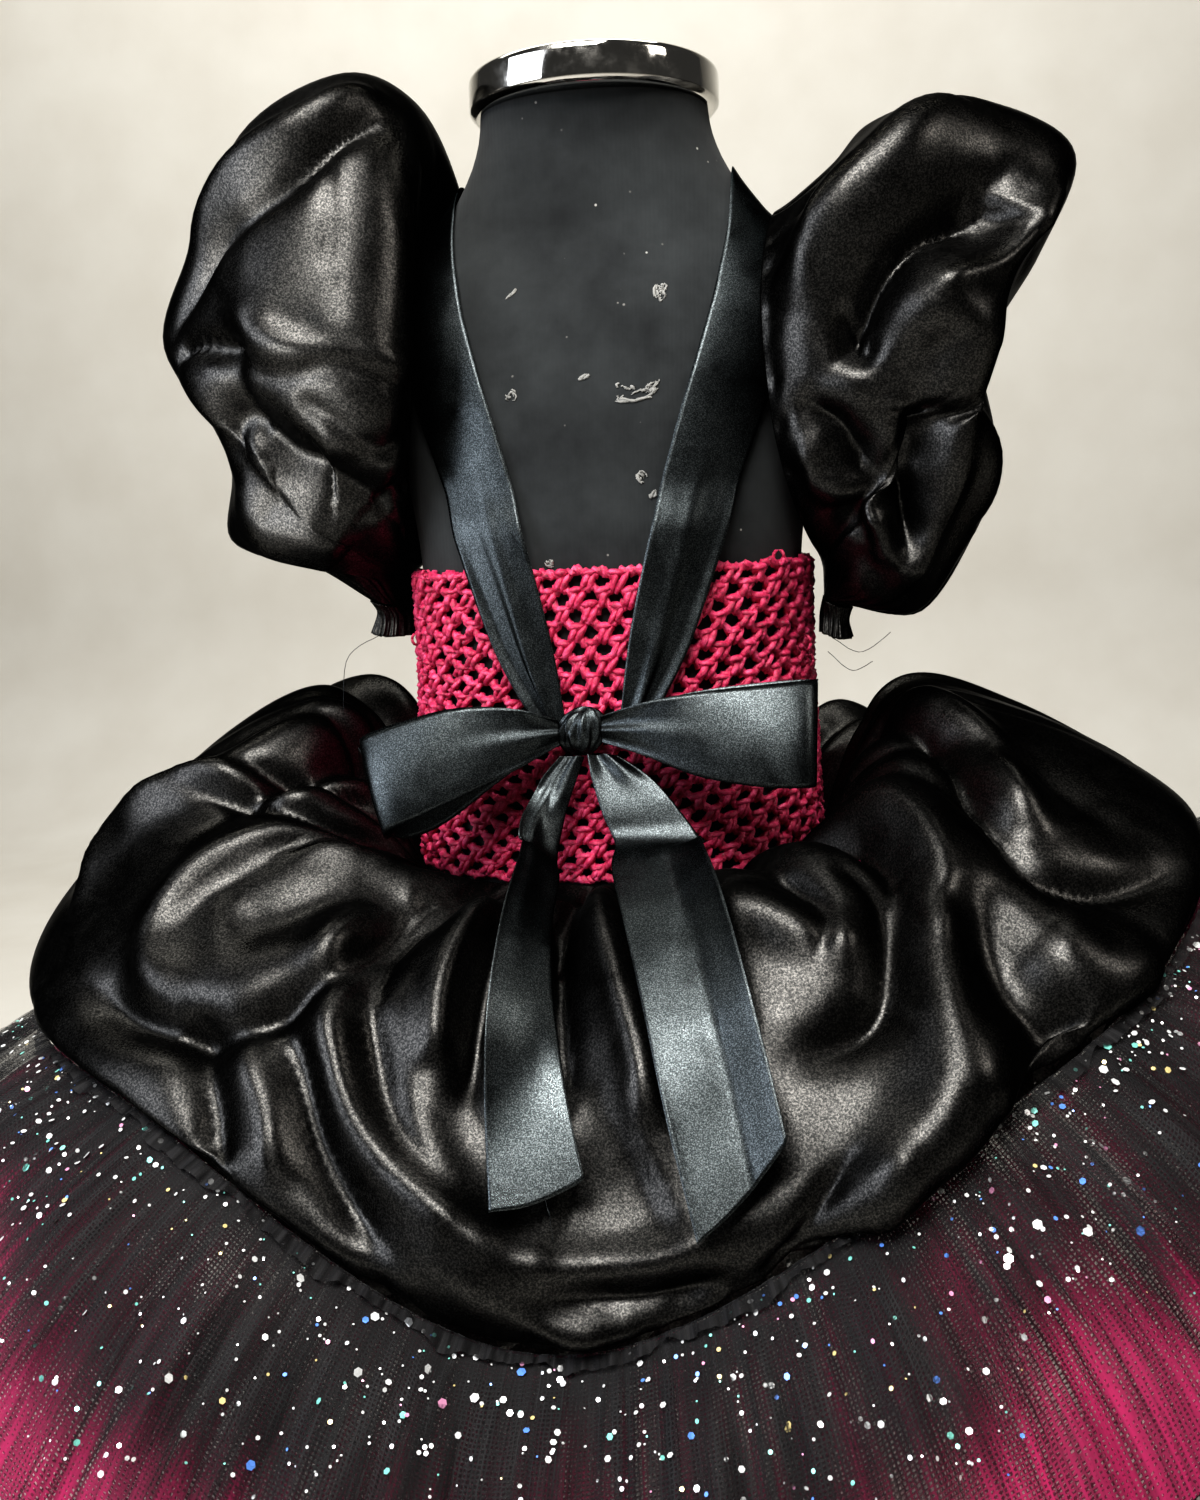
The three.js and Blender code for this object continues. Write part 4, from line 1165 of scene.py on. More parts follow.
SKIRT_FOLDS = (
    # The left side, from the silhouette inward.
    Fold("left side roll", (-92, -81, -70, -72, -71.5), (0.2, 0.305, 0.435, 0.565, 0.68), 15, 8),
    Fold("left side valley", (-82, -65.5, -62), (0.16, 0.335, 0.46), 9, -10, 1.4),
    Fold("left lobe edge", (-77, -60, -67, -72, -75, -68), (0.155, 0.375, 0.465, 0.55, 0.63, 0.7), 8, 7),
    Fold("bowl rim", (-44, -52, -55, -54.5, -51, -45), (0.33, 0.41, 0.51, 0.59, 0.645, 0.66), 10, 8),
    Fold("bowl", (-32, -40, -46), (0.34, 0.46, 0.56), 17, -8),
    Fold(
        "left sharp valley",
        (-30, -28.5, -31, -37, -47, -55),
        (0.3, 0.445, 0.56, 0.66, 0.72, 0.73),
        9,
        -12,
        1.6,
    ),
    Fold(
        "left broad ridge",
        (-36.5, -31, -27.5, -23, -16, -8),
        (0.41, 0.495, 0.565, 0.64, 0.695, 0.735),
        13,
        10,
    ),
    Fold("left dark valley", (-28, -22.5, -18.5, -12.5, -4.5), (0.49, 0.575, 0.635, 0.69, 0.725), 7, -9, 1.6),
    Fold("left sweep", (-16, -8, -2, 5), (0.7, 0.77, 0.84, 0.94), 11, 6),
    Fold("left low valley", (-42, -37.5, -33.5, -31), (0.665, 0.705, 0.765, 0.86), 7, -9, 1.6),
    Fold("left low ridge", (-36, -32, -28.5, -25.5), (0.635, 0.68, 0.725, 0.82), 8, 5),
    Fold(
        "left low inner valley", (-30.5, -27, -23.5, -19.5, -16), (0.61, 0.65, 0.71, 0.77, 0.82), 7, -9, 1.6
    ),
    Fold("left waist crease", (-55.5, -53, -55, -62.5, -71.5), (0.2, 0.3, 0.375, 0.455, 0.535), 4, -6, 1.5),
    Fold("left waist inner crease", (-55, -47.5, -49.5, -51.5), (0.16, 0.31, 0.38, 0.445), 3.5, -5, 1.5),
    Fold("left waist outer crease", (-66.5, -63, -64.5, -68.5), (0.21, 0.305, 0.385, 0.45), 3.5, -6, 1.5),
    Fold("left inner valley", (-23, -24.5, -26, -24), (0.22, 0.33, 0.44, 0.53), 6, -8, 1.3),
    Fold("left inner ridge", (-19, -17.5, -14), (0.26, 0.46, 0.57), 9, 8),
    Fold("left fine valley", (-16, -12.5, -10.5), (0.2, 0.45, 0.6), 7, -10, 1.3),
    Fold("left fine ridge", (-12, -8, -6), (0.18, 0.42, 0.62), 7, 5),
    Fold("centre valley", (-5.5, -1.5, 0.5), (0.2, 0.46, 0.58), 8, -9, 1.4),
    Fold("centre ridge", (0, 5.5, 9, 9.5), (0.2, 0.41, 0.54, 0.63), 9, 8),
    Fold("centre right valley", (10, 14, 17), (0.2, 0.42, 0.58), 9, -7, 1.5),
    # The pool above the hem.
    Fold("hem roll", (-17, -11, -3, 4.5, 11.5, 19), (0.62, 0.7, 0.765, 0.79, 0.8, 0.78), 9, 7),
    Fold("hem valley", (-4, 4.5, 9.5, 15), (0.85, 0.84, 0.87, 0.91), 8, -7),
    Fold("hem low ridge", (-14.5, -7.5, 0.5, 8.5), (0.775, 0.83, 0.89, 0.95), 8, 4),
    Fold("pool", (0, 5, 10), (0.68, 0.69, 0.68), 24, -5),
    # The right side.
    Fold("right waist crease", (32, 33.5, 33.5, 30.5), (0.36, 0.42, 0.48, 0.53), 4, -5, 1.5),
    Fold("right waist outer crease", (40, 40.5, 38.5, 35), (0.415, 0.47, 0.53, 0.595), 4, -5, 1.5),
    Fold("right waist inner crease", (7, 10.5, 10), (0.155, 0.31, 0.405), 4, -6, 1.5),
    Fold("centre waist crease", (-10.5, -5, -5), (0.225, 0.355, 0.405), 4, -6, 1.5),
    Fold("right low valley", (26.5, 23.5, 21, 19.5), (0.785, 0.84, 0.93, 0.99), 5, -7, 1.6),
    Fold("right low ridge", (31, 28.5, 27), (0.81, 0.89, 0.98), 6, 5),
    Fold("right flank long valley", (48.5, 47.5, 46.5, 48), (0.54, 0.635, 0.745, 0.875), 12, -6),
    Fold("right flank long ridge", (44.5, 40.5, 38), (0.715, 0.79, 0.87), 9, 5),
    Fold("right short ridge", (22, 28, 35), (0.4, 0.44, 0.55), 12, 9),
    Fold(
        "right long valley", (50, 48, 45.5, 37, 32.5, 25), (0.2, 0.33, 0.445, 0.58, 0.63, 0.62), 9, -13, 1.6
    ),
    Fold("right long ridge", (60, 48, 41, 37, 32, 24), (0.3, 0.495, 0.635, 0.76, 0.88, 0.97), 15, 12),
    Fold("right lobe valley", (84, 70, 61, 57, 62, 70), (0.24, 0.39, 0.48, 0.59, 0.7, 0.8), 8, -11, 1.4),
    Fold("right far roll", (92, 77, 66.5, 60), (0.28, 0.41, 0.5, 0.54), 13, 9),
    Fold("right soft valley", (45, 44, 50), (0.58, 0.74, 0.92), 16, -7),
    Fold("right low lobe", (52, 54, 60), (0.66, 0.78, 0.9), 18, 7),
    # The sides and the front, which carry folds of the same kind.
    Fold("left flank valley", (-100, -104, -98, -101), (0.18, 0.4, 0.62, 0.86), 10, -10, 1.4),
    Fold("left flank ridge", (-112, -114, -110), (0.2, 0.5, 0.88), 16, 9),
    Fold("front left valley", (-120, -124, -128, -126), (0.18, 0.42, 0.66, 0.92), 9, -11, 1.4),
    Fold("front left ridge", (-142, -144, -138, -140), (0.2, 0.45, 0.7, 0.9), 15, 10),
    Fold("front left bowl", (-152, -156, -153), (0.38, 0.48, 0.58), 17, -9),
    Fold("front middle valley", (-172, -176, -168), (0.18, 0.5, 0.9), 10, -11, 1.4),
    Fold("front middle ridge", (-184, -188, -182, -186), (0.2, 0.42, 0.66, 0.92), 13, 9),
    Fold("front right ridge", (-200, -196, -200), (0.2, 0.5, 0.9), 15, 9),
    Fold("front right valley", (-212, -216, -210, -214), (0.2, 0.42, 0.64, 0.9), 9, -11, 1.4),
    Fold("front right low ridge", (-226, -222, -228), (0.3, 0.55, 0.9), 15, 9),
    Fold("right flank valley", (-246, -241, -246, -243), (0.18, 0.4, 0.64, 0.88), 10, -10, 1.4),
    Fold("right flank ridge", (-257, -254, -258), (0.24, 0.5, 0.86), 14, 8),
)


@dataclass
class SatinOverskirt:
    """The gathered satin overskirt, puffed into panniers."""

    shell: SkirtShell
    columns: int = 400
    rows: int = 110
    thickness: float = 0.5
    waist: Gathers = Gathers(64, 5.5, 3.0, 0.3, 11)
    long_waist: Gathers = Gathers(30, 9.0, 5.5, 0.5, 12)
    hem: Gathers = Gathers(64, 2.6, 4.2, 0.1, 13)
    hem_fine: Gathers = Gathers(120, 1.3, 2.0, 0.04, 14)

    def surface(self, degrees: Array, fall: Array) -> Array:
        """Points of the overskirt's outer face.

        Args:
            degrees: azimuths from the back.
            fall: shares of the way from waist to hem.

        Returns:
            The points.
        """
        degrees, fall = np.broadcast_arrays(np.asarray(degrees, float), np.asarray(fall, float))
        base = self.shell.point(degrees, fall)
        radius = np.hypot(base[..., 0], base[..., 1])
        folds = sum(fold.heights(base, self.shell.point) for fold in SKIRT_FOLDS)
        move = folds * rise(fall, 0.03, 0.14) * (1 - 0.85 * rise(fall, 0.92, 1))
        move = move + rise(fall, 0.0, 0.12) * self.waist.heights(degrees, fall, radius)
        move = move + rise(fall, 0.02, 0.18) * self.long_waist.heights(degrees, fall, radius)
        move = move + 1.6 * rise(fall, 0.0, 0.03) * (1 - rise(fall, 0.03, 0.15))
        ripple = 0.9 * rise(fall, 0.1, 0.4) * (1 - rise(fall, 0.85, 1))
        move = move + ripple * np.sin(np.radians(degrees) * 9 + 11 * fall)
        move = move + self.hem.heights(degrees, 1 - fall, radius) * rise(1 - fall, 0, 0.008)
        move = move + self.hem_fine.heights(degrees, 1 - fall, radius)
        move = move - 2.2 * rise(fall, 0.975, 1.0)
        return base + move[..., None] * self.shell.normal(degrees, fall)

    def build(self) -> bpy.types.Object:
        """Makes the overskirt.

        Returns:
            The piece.
        """
        degrees = np.linspace(0, 360, self.columns, endpoint=False)
        fall = np.linspace(1, 0, self.rows)
        grid = self.surface(degrees[None, :], fall[:, None])
        piece = cloth("satin_overskirt", grid, closed=True, thickness=self.thickness)
        take_place(piece, SATIN, Record.SATIN, "overskirt")
        return piece


# ---------------------------------------------------------------- tulle


def ruffle(angle: Array, share: Array, waves: int, seed: float) -> Array:
    """An uneven ruffle whose folds split and merge on their way down, from about -1 to 1.

    Args:
        angle: the direction round the skirt, in radians.
        share: how far down the layer each point is.
        waves: how many main folds there are all round.
        seed: a number that sets where they fall.

    Returns:
        The ruffle's height at each point.
    """
    main = np.cos(waves * angle + 1.6 * uneven(angle, seed) + 0.6 * share)
    # Whole counts, so that the ruffle closes all round.
    second = np.cos(math.floor(2.23 * waves) * angle + 3.1 * uneven(angle, seed + 1) - 1.7 * share)
    third = np.cos(math.floor(4.1 * waves) * angle + 4.3 * uneven(angle, seed + 3) + 2.6 * share)
    return (0.62 * main + 0.3 * second + 0.2 * third) * (1 + 0.35 * uneven(angle, seed + 2))


@dataclass
class TulleSkirts:
    """The glitter tulle below the satin's hem, over a pink and a black underskirt."""

    shell: SkirtShell
    start: float = 1.007
    tuck: float = 0.9
    plies: int = 3
    dots: int = 3000
    # Columns and rows of each grid of points; an under layer's rows stand below and above the satin's hem.
    ply_grid: tuple[int, int] = (900, 22)
    edge_grid: tuple[int, int] = (1500, 7)
    under_columns: int = 380
    pink_rows: tuple[int, int] = (44, 22)
    black_rows: tuple[int, int] = (36, 22)
    pink_reach: float = 2.12
    black_reach: float = 2.2
    # Places where the glitter tulle is short or parted: azimuth, width and depth.
    partings: Rows = (
        (-52, 9, 0.52),
        (-112, 8, 0.4),
        (36, 6, 0.42),
        (60, 8, 0.56),
        (128, 9, 0.45),
        (176, 8, 0.4),
    )
    # Which way an under layer lies from the shell, in degrees from straight down, by reach.
    way: Rows = (
        (0, 0),
        (0.03, -50),
        (0.16, -42),
        (0.34, 0),
        (0.55, 28),
        (0.8, 55),
        (1, 58),
        (1.35, 38),
        (2.4, 34),
    )

    def glitter_length(self, degrees: Array) -> Array:
        """How much of its length the glitter tulle has in each direction.

        Args:
            degrees: azimuths from the back.

        Returns:
            Shares of its length.
        """
        length = np.ones_like(degrees)
        for azimuth, width, depth in self.partings:
            off = (np.mod(degrees - azimuth + 540, 360) - 180) / width
            length = length - depth * np.exp(-off * off)
        return length

    def glitter_point(self, degrees: Array, share: Array, ply: int) -> Array:
        """Points of one ply of the glitter tulle.

        Args:
            degrees: azimuths from the back.
            share: shares of its length.
            ply: 0 for the outer ply.

        Returns:
            The points.
        """
        degrees, share = np.broadcast_arrays(degrees, share)
        ragged = 1 - 0.06 * ply + 0.05 * uneven(np.radians(degrees) * 3, 2.0 + ply)
        reach = self.start + share * self.glitter_length(degrees) * ragged
        swell = 6.5 * (0.12 + 0.88 * share**0.7) * rise(share, 0.04, 0.3)
        move = swell * ruffle(np.radians(degrees), share, 30, 3.0 + ply)
        move = move - self.tuck * (1 - rise(share, 0.1, 0.4)) - 1.2 * ply * rise(share, 0.02, 0.4)
        return self.shell.point(degrees, reach) + move[..., None] * self.shell.normal(degrees, reach)

    def under_point(
        self,
        degrees: Array,
        reach: Array,
        waves: int,
        wave: float,
        depths: tuple[float, float],
        seed: float,
    ) -> Array:
        """Points of a full under layer.

        Args:
            degrees: azimuths.
            reach: reaches, 0 at the waist.
            waves: how many folds it has.
            wave: their height.
            depths: how deep it lies under the shell at the waist and further down.
            seed: a number that sets where the folds fall.

        Returns:
            The points.
        """
        degrees, reach = np.broadcast_arrays(degrees, reach)
        angle = np.radians(degrees)
        depth = depths[0] + (depths[1] - depths[0]) * rise(reach, 0, 0.18)
        height = wave * (0.25 + 0.35 * reach) * rise(reach, 0.04, 0.5) * ruffle(angle, reach, waves, seed)
        way = np.zeros_like(reach)
        for (low, a), (high, b) in zip(self.way, self.way[1:]):
            inside = (reach >= low) & (reach <= high)
            way = np.where(inside, a + (b - a) * rise(reach, low, high), way)
        way = np.radians(way)
        inward = (depth - height) * np.sin(way)
        down = (depth - height) * np.cos(way)
        move = np.stack([-inward * np.sin(angle), inward * np.cos(angle), -down], -1)
        return self.shell.point(degrees, reach) + move

    def spangles(self) -> bpy.types.Object:
        """The foil dots on the outer ply, one flat six-sided flake each.

        Returns:
            The piece.
        """
        draw = np.random.default_rng(31)
        degrees = draw.uniform(-180, 180, self.dots)
        share = draw.beta(0.9, 1.25, self.dots) * 0.96 + 0.02
        middle = self.glitter_point(degrees, share, 0)
        near = self.glitter_point(degrees + 0.2, share, 0) - middle
        down = self.glitter_point(degrees, share + 0.004, 0) - middle
        normal = unit(np.cross(down, near))
        normal = unit(normal + draw.normal(0, 0.22, normal.shape))
        side = unit(np.cross(normal, unit(down)))
        lift = np.cross(normal, side)
        radius = draw.choice([0.4, 0.6, 0.85, 1.2, 1.7], self.dots, p=[0.32, 0.3, 0.22, 0.13, 0.03])
        turn = 2 * math.pi * np.arange(6) / 6
        ring = (middle + 0.7 * normal)[:, None] + radius[:, None, None] * (
            np.cos(turn)[None, :, None] * side[:, None] + np.sin(turn)[None, :, None] * lift[:, None]
        )
        faces = np.arange(self.dots * 6).reshape(-1, 6)
        made = mesh_object("glitter_dots", ring.reshape(-1, 3), faces)
        for finish in SPANGLES:
            made.data.materials.append(finish.material())
        kinds = draw.choice(len(SPANGLES), self.dots, p=[0.68, 0.13, 0.05, 0.05, 0.09])
        made.data.polygons.foreach_set("material_index", kinds.astype(np.int32))
        return take_place(made, SPANGLES[0], Record.GLITTER)

    def fray(self, piece: bpy.types.Object, share: Array, columns: int) -> None:
        """Stores how far down its length each point of a layer is, which the net reads.

        Args:
            piece: the layer.
            share: the share for each row of its grid.
            columns: how many points a row has.
        """
        stored = piece.data.attributes.new("fray", "FLOAT", "POINT")
        every = np.broadcast_to(share, (len(share), columns))
        stored.data.foreach_set("value", every.astype(np.float32).ravel())

    def glitter(self) -> None:
        """The plies of glitter tulle, each a little shorter than the one over it."""
        columns, rows = self.ply_grid
        degrees = np.linspace(0, 360, columns, endpoint=False)[None, :]
        share = np.linspace(1, 0, rows)[:, None] ** 1.2
        for k in range(self.plies):
            ply = cloth(f"glitter_tulle_{k + 1}", self.glitter_point(degrees, share, k), closed=True)
            self.fray(ply, share, columns)
            take_place(ply, GLITTER_NET, Record.GLITTER, *(["tulle_glitter"] if k == 0 else []))

    def gathered_edge(self) -> None:
        """The glitter tulle's own frilled top edge, which shows past the satin's hem."""
        columns, rows = self.edge_grid
        turn = np.linspace(0, 360, columns, endpoint=False)[None, :]
        run = np.linspace(1, 0, rows)[:, None]
        reach = 0.985 + 0.07 * run * (1 + 0.4 * uneven(np.radians(turn) * 9, 6.0))
        lift = 1.4 + (0.5 + 1.2 * run) * ruffle(np.radians(turn), run, 130, 9.0)
        normal = self.shell.normal(*np.broadcast_arrays(turn, reach))
        grid = self.shell.point(turn, reach) + lift[..., None] * normal
        edge = take_place(cloth("gathered_edge_of_tulle", grid, closed=True), GLITTER_NET, Record.GLITTER)

    def under_layer(
        self,
        name: str,
        rows: tuple[int, int],
        longest: float,
        waves: int,
        depths: tuple[float, float],
        seed: float,
    ) -> bpy.types.Object:
        """Makes the cloth of one under layer.

        Args:
            name: the piece's name.
            rows: rows of points below and above the satin's hem.
            longest: its reach, where 1 is the satin's hem.
            waves: how many folds it has.
            depths: how deep it lies under the shell at the waist and further down.
            seed: a number that sets where the folds fall.

        Returns:
            The layer.
        """
        degrees = np.linspace(0, 360, self.under_columns, endpoint=False)[None, :]
        reach = np.concatenate([np.linspace(longest, 1.0, rows[0]), np.linspace(0.97, 0.0, rows[1])])[:, None]
        layer = cloth(name, self.under_point(degrees, reach, waves, 4.8, depths, seed), closed=True)
        self.fray(layer, reach / longest, self.under_columns)
        return layer

    def build(self) -> None:
        """Makes the plies, the dots, the gathered edge and the two under layers."""
        self.glitter()
        self.spangles()
        self.gathered_edge()
        pink = self.under_layer("tulle_pink_layer", self.pink_rows, self.pink_reach, 20, (2.8, 22), 5.0)
        take_place(pink, PINK_NET, Record.PINK, "tulle_pink")
        black = self.under_layer("tulle_black_layer", self.black_rows, self.black_reach, 16, (5.8, 37), 8.0)
        take_place(black, BLACK_NET, Record.BLACK, "tulle_black")


# ---------------------------------------------------------------- bodice


@dataclass
class CrochetBodice:
    """The stretchy crocheted tube: staggered small holes between rows of doubled yarn."""

    form: DressForm
    bottom: float = 0.6
    top: float = 133.0
    cells: int = 40
    row_pitch: float = 6.05
    wave: float = 2.1
    yarn: float = 1.52
    out: float = 2.6
    # How far the first and last rows are from the tube's edges, and how high a post may start and end.
    margin: float = 1.6
    posts_up: tuple[float, float] = (0.2, 134.2)
    # How thick a post and a stitch's head are along their length, where 1 is the yarn's own radius.
    post: tuple[float, ...] = (0.7, 0.98, 1.05, 0.98, 0.7)
    head: tuple[float, ...] = (0.6, 0.95, 1.1, 0.95, 0.6)

    def warp(self, angle: Array, up: Array) -> Array:
        """How far the pull of the straps and the knot draws the rows down near the middle of the back."""
        share = (up - self.bottom) / (self.top - self.bottom)
        return -7 * np.sin(math.pi * np.clip(share, 0, 1)) * np.exp(-((angle / 0.75) ** 2))

    def place(self, angle: Array, up: Array, out: Array) -> Array:
        """Points of the bodice by angle, height above the waist and distance from the form."""
        wrapped = np.mod(angle + math.pi, 2 * math.pi) - math.pi
        return self.form.point(angle, up + self.warp(wrapped, up), out)

    def build(self) -> None:
        """Makes the rows, the posts between them and the stitches' heads."""
        draw = np.random.default_rng(7)
        rows = int((self.top - self.bottom) / self.row_pitch)
        paths, radii = ([], []), ([], [])
        steps = self.cells * 8
        angle = 2 * math.pi * np.arange(steps + 1) / steps
        for k in range(rows + 1):
            level = self.bottom + self.margin + (self.top - self.bottom - 2 * self.margin) * k / rows
            wobble = 0.45 * np.sin(angle * 17 + k * 1.9) + 0.45 * np.sin(angle * 53 + k * 4.1)
            calm = 0.35 if k in (0, rows) else 1.0
            middle = level + self.wave * calm * np.cos(self.cells * angle + math.pi * k) + wobble
            for strand in (0, 1):
                twist = 2.5 * self.cells * angle + math.pi * strand + 1.3 * k
                up = middle + 1.2 * np.cos(twist)
                out = self.out + 0.95 * np.sin(twist)
                paths[strand].append(self.place(angle, up, out))
                bumps = 1 + 0.16 * np.sin(twist * 2 + k) + draw.normal(0, 0.11, len(angle))
                bumps[-1] = bumps[0]
                radii[strand].append(self.yarn * bumps)
        made = tubes("crochet_rows", paths[0], radii[0], 5)
        take_place(made, CROCHET, Record.CROCHET, "bodice")
        returns = tubes("crochet_returns", paths[1], radii[1], 5)
        take_place(returns, CROCHET, Record.CROCHET)
        paths, radii = [], []
        for k in range(rows):
            level = self.bottom + self.margin + (self.top - self.bottom - 2 * self.margin) * (k + 0.5) / rows
            for cell in range(self.cells):
                middle = 2 * math.pi * (cell + (0 if k % 2 == 0 else 0.5)) / self.cells
                for strand in (-1, 1):
                    share = np.linspace(-1, 1, 5)
                    lean = strand * (0.02 + 0.011 * draw.standard_normal())
                    turn = middle + lean * (0.8 + 0.6 * share * strand) + 0.012 * share
                    up = level + share * (3.3 + 0.4 * draw.standard_normal()) + 0.4 * draw.standard_normal()
                    out = self.out + 0.4 + 1.5 * (1 - share**2) + 0.2 * draw.standard_normal()
                    paths.append(self.place(turn, np.clip(up, *self.posts_up), out))
                    radii.append(self.yarn * np.array(self.post) * draw.uniform(0.85, 1.12))
                # The stitch's head, a short lump that lies across the row.
                share = np.linspace(-1, 1, 5)
                turn = middle + 0.042 * share * draw.uniform(0.8, 1.25)
                up = level + 3.1 + 0.5 * draw.standard_normal() + draw.uniform(-0.7, 0.7) * share
                out = self.out + 0.9 + 1.2 * (1 - share**2)
                paths.append(self.place(turn, np.clip(up, *self.posts_up), out))
                radii.append(self.yarn * np.array(self.head) * draw.uniform(0.85, 1.1))
        posts = tubes("crochet_posts", paths, radii, 4)
        take_place(posts, CROCHET, Record.CROCHET)


# ---------------------------------------------------------------- sleeves


@dataclass
class Tube:
    """A tube given by ring rows: top out, top up, low out, low up, back, front, drawn in."""

    rings: Array
    side: Side
    power: float = 2.25

    def point(self, turn: Array, share: Array) -> Array:
        """Points by degrees round the tube from its top over the back, and share of its length.

        Args:
            turn: degrees round the tube.
            share: shares of its length.

        Returns:
            The points.
        """
        turn, share = np.broadcast_arrays(np.asarray(turn, float), np.asarray(share, float))
        row = along(self.rings, np.clip(share, 0, 1))
        angle = np.radians(turn)
        top = np.sign(np.cos(angle)) * np.abs(np.cos(angle)) ** (2 / self.power)
        back = np.sign(np.sin(angle)) * np.abs(np.sin(angle)) ** (2 / self.power)
        out = 0.5 * (row[..., 0] + row[..., 2]) + 0.5 * top * (row[..., 0] - row[..., 2])
        up = 0.5 * (row[..., 1] + row[..., 3]) + 0.5 * top * (row[..., 1] - row[..., 3])
        deep = np.where(back > 0, row[..., 4], row[..., 5])
        drawn = row[..., 6] * back * back
        return np.stack([self.side.value * (out - drawn), -deep * back, WAIST + up], -1)

    def normal(self, turn: Array, share: Array) -> Array:
        """The tube's outward normals.

        Args:
            turn: degrees round the tube.
            share: shares of its length.

        Returns:
            Unit normals.
        """
        step = 0.01
        round_it = self.point(turn + 2, share) - self.point(turn - 2, share)
        run = self.point(turn, np.minimum(1, share + step)) - self.point(turn, np.maximum(0, share - step))
        return self.side.value * unit(np.cross(round_it, run))


@dataclass
class PuffSleeve:
    """One satin puff sleeve with its gathered ends and listed folds, and its elastic cuff."""

    side: Side
    rings: Rows
    folds: tuple[Fold, ...]
    cuff_rings: Rows
    thickness: float = 0.5
    # Points round and along the sleeve and the cuff.
    sleeve_grid: tuple[int, int] = (230, 96)
    cuff_grid: tuple[int, int] = (240, 14)
    armhole: Gathers = Gathers(30, 2.2, 2.4, 0.13, 21)
    elastic: Gathers = Gathers(26, 1.8, 2.0, 0.12, 22)

    def places(self, grid: tuple[int, int]) -> tuple[Array, Array]:
        """A row of directions round a tube, in degrees, and a column of shares of its length."""
        turn = self.side.value * np.linspace(0, 360, grid[0], endpoint=False)[None, :]
        return turn, np.linspace(0, 1, grid[1])[:, None]

    def build(self) -> None:
        """Makes the sleeve and its cuff."""
        tube = Tube(np.array(self.rings, float), self.side)
        turn, share = self.places(self.sleeve_grid)
        turn, share = np.broadcast_arrays(turn, share)
        base = tube.point(turn, share)
        wrapped = np.mod(turn + 180, 360) - 180
        from_end = np.minimum(share, 1 - share)
        clear = rise(180 - np.abs(wrapped), 10, 50)
        folds = sum(fold.heights(base, tube.point) for fold in self.folds) * rise(from_end, 0.03, 0.2)
        pleats = self.armhole.heights(turn, share, 50) * rise(share, 0, 0.05)
        pleats = pleats + self.elastic.heights(turn, 1 - share, 34) * rise(1 - share, 0, 0.05)
        ripple = 0.7 * np.sin(np.radians(turn) * 7 + 9 * share) * rise(from_end, 0.1, 0.3)
        move = clear * (folds + pleats + ripple)
        grid = base + move[..., None] * tube.normal(turn, share)
        sleeve = cloth(f"satin_sleeve_{self.side.word}", grid, closed=True, thickness=self.thickness)
        take_place(sleeve, SATIN, Record.SATIN, f"sleeve_{self.side.word}")
        cuff = Tube(np.array(self.cuff_rings, float), self.side)
        turn, share = self.places(self.cuff_grid)
        wave = share * ruffle(np.radians(turn), share, 15, 4.0) * 1.8
        wave = wave + 0.35 * (1 - share) * np.cos(np.radians(turn) * 44)
        grid = cuff.point(turn, share) + wave[..., None] * cuff.normal(*np.broadcast_arrays(turn, share))
        frill = cloth(f"elastic_cuff_{self.side.word}", grid, closed=True, thickness=0.4)
        take_place(frill, SATIN, Record.SATIN, f"cuff_{self.side.word}")


